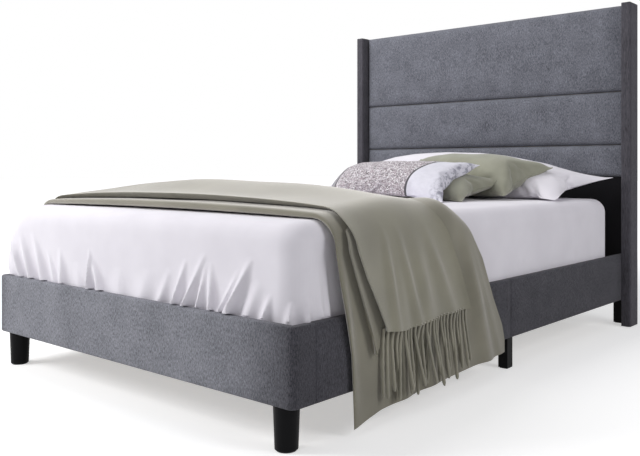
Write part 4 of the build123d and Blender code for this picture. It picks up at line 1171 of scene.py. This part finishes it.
# Pillows
# Cotton bags filled with fibre, sewn flat and then stuffed, so their panels wrinkle towards seams
# and corners. They lean one on another towards the headboard, each pressed flat where it rests.
sage_shades = ((0.255, 0.255, 0.198), (0.325, 0.325, 0.255))
sage_cotton = cotton("sage_cotton", sage_shades, cotton_thread, 0.35, 0.0005)
pillow_step = 0.011
bag_thickness = 0.004
pillow_gap = 0.0012
sheet_gap = 0.001
piping_radius = 0.0022
settle_start = 0.6
# A pillow's ridge: its height as a share of the crown, and how far out it has it, as a share of half
# the length, for a short pillow and for a long one.
level_heights = (0.0, 0.32, 0.64, 0.88, 0.975, 1.0)
short_levels = (1.0, 0.965, 0.84, 0.62, 0.36, 0.0)
long_levels = (1.0, 0.86, 0.66, 0.44, 0.24, 0.0)
# The ridge of a stuffed bag is measured at so many places, each over this reach either way. The bag is
# stretched there to its outline, within these limits.
ridge_places = 13
ridge_reach = 0.06
least_ridge = 0.08
most_stretch = 1.6
stuffing_frames = 28
stuffing = {
    "quality": 6,
    "mass": 0.25,
    "tension_stiffness": 25.0,
    "compression_stiffness": 25.0,
    "shear_stiffness": 8.0,
    "bending_stiffness": 0.15,
    "air_damping": 4.0,
    "use_pressure": True,
    "uniform_pressure_force": 6.0,
}
pad_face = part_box("headboard_upper_pad")[0].y
sheet_top = sheet_high.z


def sewn_bag(name, length, depth, pinch):
    """A flat bag of two panels sewn round, its sides drawn in between the corners, about its middle."""
    select_only()
    bpy.ops.mesh.primitive_grid_add(
        x_subdivisions=round(length / pillow_step), y_subdivisions=round(depth / pillow_step), size=1
    )
    bag = bpy.context.object
    bag.name = bag.data.name = name
    points = points_of(bag)
    u, v = 2 * points[:, 0], 2 * points[:, 1]
    points[:, 0] = u * (length / 2 - pinch * 0.5 * (1 - v**2))
    points[:, 1] = v * (depth / 2 - pinch * 0.5 * (1 - u**2))
    move_points(bag, points)
    apply_modifier(bag, "SOLIDIFY", thickness=bag_thickness, offset=0.0)
    return bag


def blow_up(bag):
    """Cloth simulation of the filling: pressure from inside and no weight."""
    scene = bpy.context.scene
    select_only(bag)
    modifier = bag.modifiers.new("filling", "CLOTH")
    for setting, value in stuffing.items():
        setattr(modifier.settings, setting, value)
    modifier.settings.effector_weights.gravity = 0.0
    modifier.point_cache.frame_start = 1
    modifier.point_cache.frame_end = stuffing_frames
    for frame_number in range(1, stuffing_frames + 1):
        scene.frame_set(frame_number)
    bpy.ops.object.modifier_apply(modifier=modifier.name)
    scene.frame_set(1)


def pillow(
    name, size, levels, crown, belly, pinch, lean, turn, side, head_gap, lift, drawn_in, settle, left_drop
):
    """A stuffed pillow brought to its measured outline, leaned, turned and laid in its place.

    drawn_in is how far its corners are pulled in: front left, back left and front right. settle is how
    much of its lift its front edge gives up as it sinks to the sheet, and left_drop how much lower its
    left end lies.
    """
    length, depth = size
    bag = sewn_bag(name, length, depth, pinch)
    blow_up(bag)
    points = points_of(bag)
    points -= (points.max(0) + points.min(0)) / 2 * np.array([1, 1, 0])
    points[:, 0] *= length / np.ptp(points[:, 0])
    points[:, 1] *= depth / np.ptp(points[:, 1])
    u = np.abs(2 * points[:, 0] / length)
    bins = np.linspace(0, 1, ridge_places)
    upper = points[:, 2] > 0
    ridge = [points[upper & (np.abs(u - place) < ridge_reach), 2].max(initial=1e-3) for place in bins]
    wanted = np.interp(bins, levels[::-1], level_heights[::-1])
    stretch = wanted / np.maximum(np.array(ridge) / max(ridge), least_ridge)
    points[:, 2] *= np.interp(u, bins, np.minimum(stretch, most_stretch)) / max(ridge)
    points[:, 2] *= np.where(points[:, 2] > 0, crown, belly)
    forward = np.clip(0.5 - points[:, 1] / depth, 0, 1)
    ends = np.clip(2 * np.abs(points[:, 0]) / length, 0, 1) ** 2
    left_pull = drawn_in[0] * forward**1.5 + drawn_in[1] * (1 - forward) ** 1.5
    right_pull = drawn_in[2] * forward**1.5
    drop = left_drop * np.clip(-2 * points[:, 0] / length, 0, 1) ** 2
    points[:, 0] += np.where(points[:, 0] < 0, left_pull, -right_pull) * ends
    points[:, 2] -= settle * lift * np.clip((forward - settle_start) / (1 - settle_start), 0, 1) ** 1.5
    lean, turn = math.radians(lean), math.radians(turn)
    run, rise = depth * math.cos(lean), depth * math.sin(lean)
    middle = (side, pad_face - head_gap - run / 2, sheet_top + rest_gap + lift + rise / 2)
    turned = Matrix.Rotation(turn, 3, "Z") @ Matrix.Rotation(lean, 3, "X")
    points = points @ np.array(turned).T + np.array(Vector(middle))
    points[:, 2] -= drop
    on_sheet = sheet_top + sheet_gap + sheet_crown * np.clip(1 - (points[:, 0] / half_width) ** 2, 0, 1)
    points[:, 2] = np.maximum(points[:, 2], on_sheet)
    move_points(bag, points)
    return bag


def finish_pillow(bag, material, body, behind):
    """Its node has its body's name."""
    for other in behind:
        apply_modifier(bag, "SHRINKWRAP", target=other, wrap_mode="OUTSIDE", offset=pillow_gap)
    apply_modifier(bag, "SUBSURF", levels=1, render_levels=1)
    complete(bag, material, body, body)


def seam_points(bag):
    """The points along the middle of a pillow's seam, in order round it, by its flat bag's coordinates."""
    layer = bag.data.uv_layers.active.data
    place_of = {}
    for loop in bag.data.loops:
        place_of.setdefault(loop.vertex_index, layer[loop.index].uv.copy())
    turn = {}
    for number, (u, v) in place_of.items():
        if min(u, v, 1 - u, 1 - v) < touching:
            turn.setdefault(round(math.atan2(v - 0.5, u - 0.5), 3), number)
    return [turn[angle] for angle in sorted(turn)]


def pipe_seam(bag, name, material, body):
    """A thin covered cord sewn into a pillow's seam, right round it."""
    places = [bag.data.vertices[number].co.copy() for number in seam_points(bag)]
    curve = bpy.data.curves.new(name, "CURVE")
    curve.dimensions = "3D"
    spline = curve.splines.new("POLY")
    spline.points.add(len(places) - 1)
    for point, place in zip(spline.points, places):
        point.co = (*place, 1)
    spline.use_cyclic_u = True
    curve.bevel_depth = piping_radius
    curve.bevel_resolution = 2
    cord = bpy.data.objects.new(name, curve)
    bpy.context.scene.collection.objects.link(cord)
    select_only(cord)
    bpy.ops.object.convert(target="MESH")
    complete(bpy.context.object, material, body, body)


white_pillow = pillow(
    "white_bed_pillow", (1.38, 0.462), long_levels, crown=0.152, belly=0.06, pinch=0.024, lean=10.2, turn=0,
    side=0.015, head_gap=0.095, lift=0.009, drawn_in=(0.0, 0.0, 0.06), settle=0.6, left_drop=0.012,
)
finish_pillow(white_pillow, white_cotton, "white_pillow", [])
sage_back = pillow(
    "sage_back_cushion", (0.72, 0.33), short_levels, crown=0.11, belly=0.06, pinch=0.026, lean=18.6, turn=0,
    side=0.19, head_gap=0.35, lift=0.027, drawn_in=(0.0, 0.1, 0.06), settle=0.3, left_drop=0.03,
)
finish_pillow(sage_back, sage_cotton, "sage_back_pillow", [white_pillow])
pipe_seam(sage_back, "sage_back_piping", sage_cotton, "sage_back_pillow")
sage_front = pillow(
    "sage_front_cushion", (0.66, 0.33), short_levels, crown=0.066, belly=0.044, pinch=0.02, lean=8.0, turn=0,
    side=0.12, head_gap=0.57, lift=0.026, drawn_in=(0.0, 0.0, 0.0), settle=0.8, left_drop=0.0,
)
finish_pillow(sage_front, sage_cotton, "sage_front_pillow", [white_pillow, sage_back])
pipe_seam(sage_front, "sage_front_piping", sage_cotton, "sage_front_pillow")


def printed_cotton(name, size, shades):
    """The small pillow's cover: a grey end band, a speckled field, dark piping, a plain field and smudges.

    Its places are metres from the cover's left end and from its front edge.
    """
    border_end, field_end, slant, piping, bow, smudge_reach = 0.09, 0.465, 0.1, 0.0045, 0.022, 0.075
    material, tree, shader = finish_of(name, 0.9, Specular_IOR_Level=0.2, Sheen_Weight=0.1)
    cover = placed(tree, (*size, 1), "UV")
    split = tree.nodes.new("ShaderNodeSeparateXYZ")
    tree.links.new(cover, split.inputs["Vector"])
    cells = tree.nodes.new("ShaderNodeTexVoronoi")
    cells.inputs["Scale"].default_value = 240.0
    tree.links.new(cover, cells.inputs["Vector"])
    picked = tree.nodes.new("ShaderNodeSeparateColor")
    tree.links.new(cells.outputs["Color"], picked.inputs["Color"])
    speckles = ramp(tree, picked.outputs["Red"], shades["speckles"], "CONSTANT")
    blotches = noise(tree, cover, 38.0, 4.0, 0.6)
    plain = ramp(tree, blotches, [(0.3, shades["plain"][0]), (0.7, shades["plain"][1])])
    rise = maths(tree, "MULTIPLY", split.outputs["Y"], 1 / size[1])
    centre = maths(tree, "MULTIPLY_ADD", rise, 2.0, -1.0)
    bowed = maths(tree, "MULTIPLY_ADD", maths(tree, "MULTIPLY", centre, centre), -bow, bow)
    run = maths(tree, "ADD", split.outputs["X"], bowed)
    run = maths(tree, "MULTIPLY_ADD", rise, -slant, run)
    to_end = maths(tree, "SUBTRACT", size[0], split.outputs["X"])
    near_end = maths(tree, "MAXIMUM", maths(tree, "MULTIPLY_ADD", to_end, -1 / smudge_reach, 1.1), 0.0)
    smudge = maths(tree, "MULTIPLY", maths(tree, "SUBTRACT", blotches, 0.47), 9.0)
    smudged = maths(tree, "MAXIMUM", maths(tree, "MULTIPLY", near_end, smudge), 0.0)
    colour = blend(tree, maths(tree, "MINIMUM", smudged, 0.8), plain, shades["smudge"])
    for end, field in ((field_end, speckles), (border_end, shades["border"])):
        colour = blend(tree, maths(tree, "LESS_THAN", run, end), colour, field)
        colour = blend(tree, maths(tree, "COMPARE", run, end, piping), colour, shades["piping"])
    tree.links.new(colour, shader.inputs["Base Color"])
    first = bump(tree, shader, noise(tree, cover, 800.0, 2.0), 0.0004, 0.6)
    bump(tree, shader, picked.outputs["Red"], 0.0006, 0.4, first)
    return material


cover_size = (0.65, 0.37)
cover_shades = {
    "plain": ((0.69, 0.68, 0.75), (0.77, 0.76, 0.83)),
    "smudge": (0.24, 0.24, 0.3),
    "piping": (0.1, 0.095, 0.105),
    "border": (0.34, 0.33, 0.35),
    "speckles": (
        (0.0, (0.14, 0.125, 0.13)), (0.1, (0.3, 0.25, 0.27)), (0.28, (0.42, 0.39, 0.42)),
        (0.5, (0.5, 0.44, 0.47)), (0.7, (0.62, 0.59, 0.61)), (0.88, (0.82, 0.8, 0.82)),
    ),
}
printed = printed_cotton("patterned_cotton", cover_size, cover_shades)
patterned = pillow(
    "patterned_cushion", cover_size, short_levels, crown=0.068, belly=0.044, pinch=0.024, lean=18.6, turn=6.7,
    side=0.087, head_gap=0.688, lift=0.024, drawn_in=(0.14, 0.05, 0.0), settle=0.8, left_drop=0.018,
)
finish_pillow(patterned, printed, "patterned_pillow", [sage_back, sage_front])
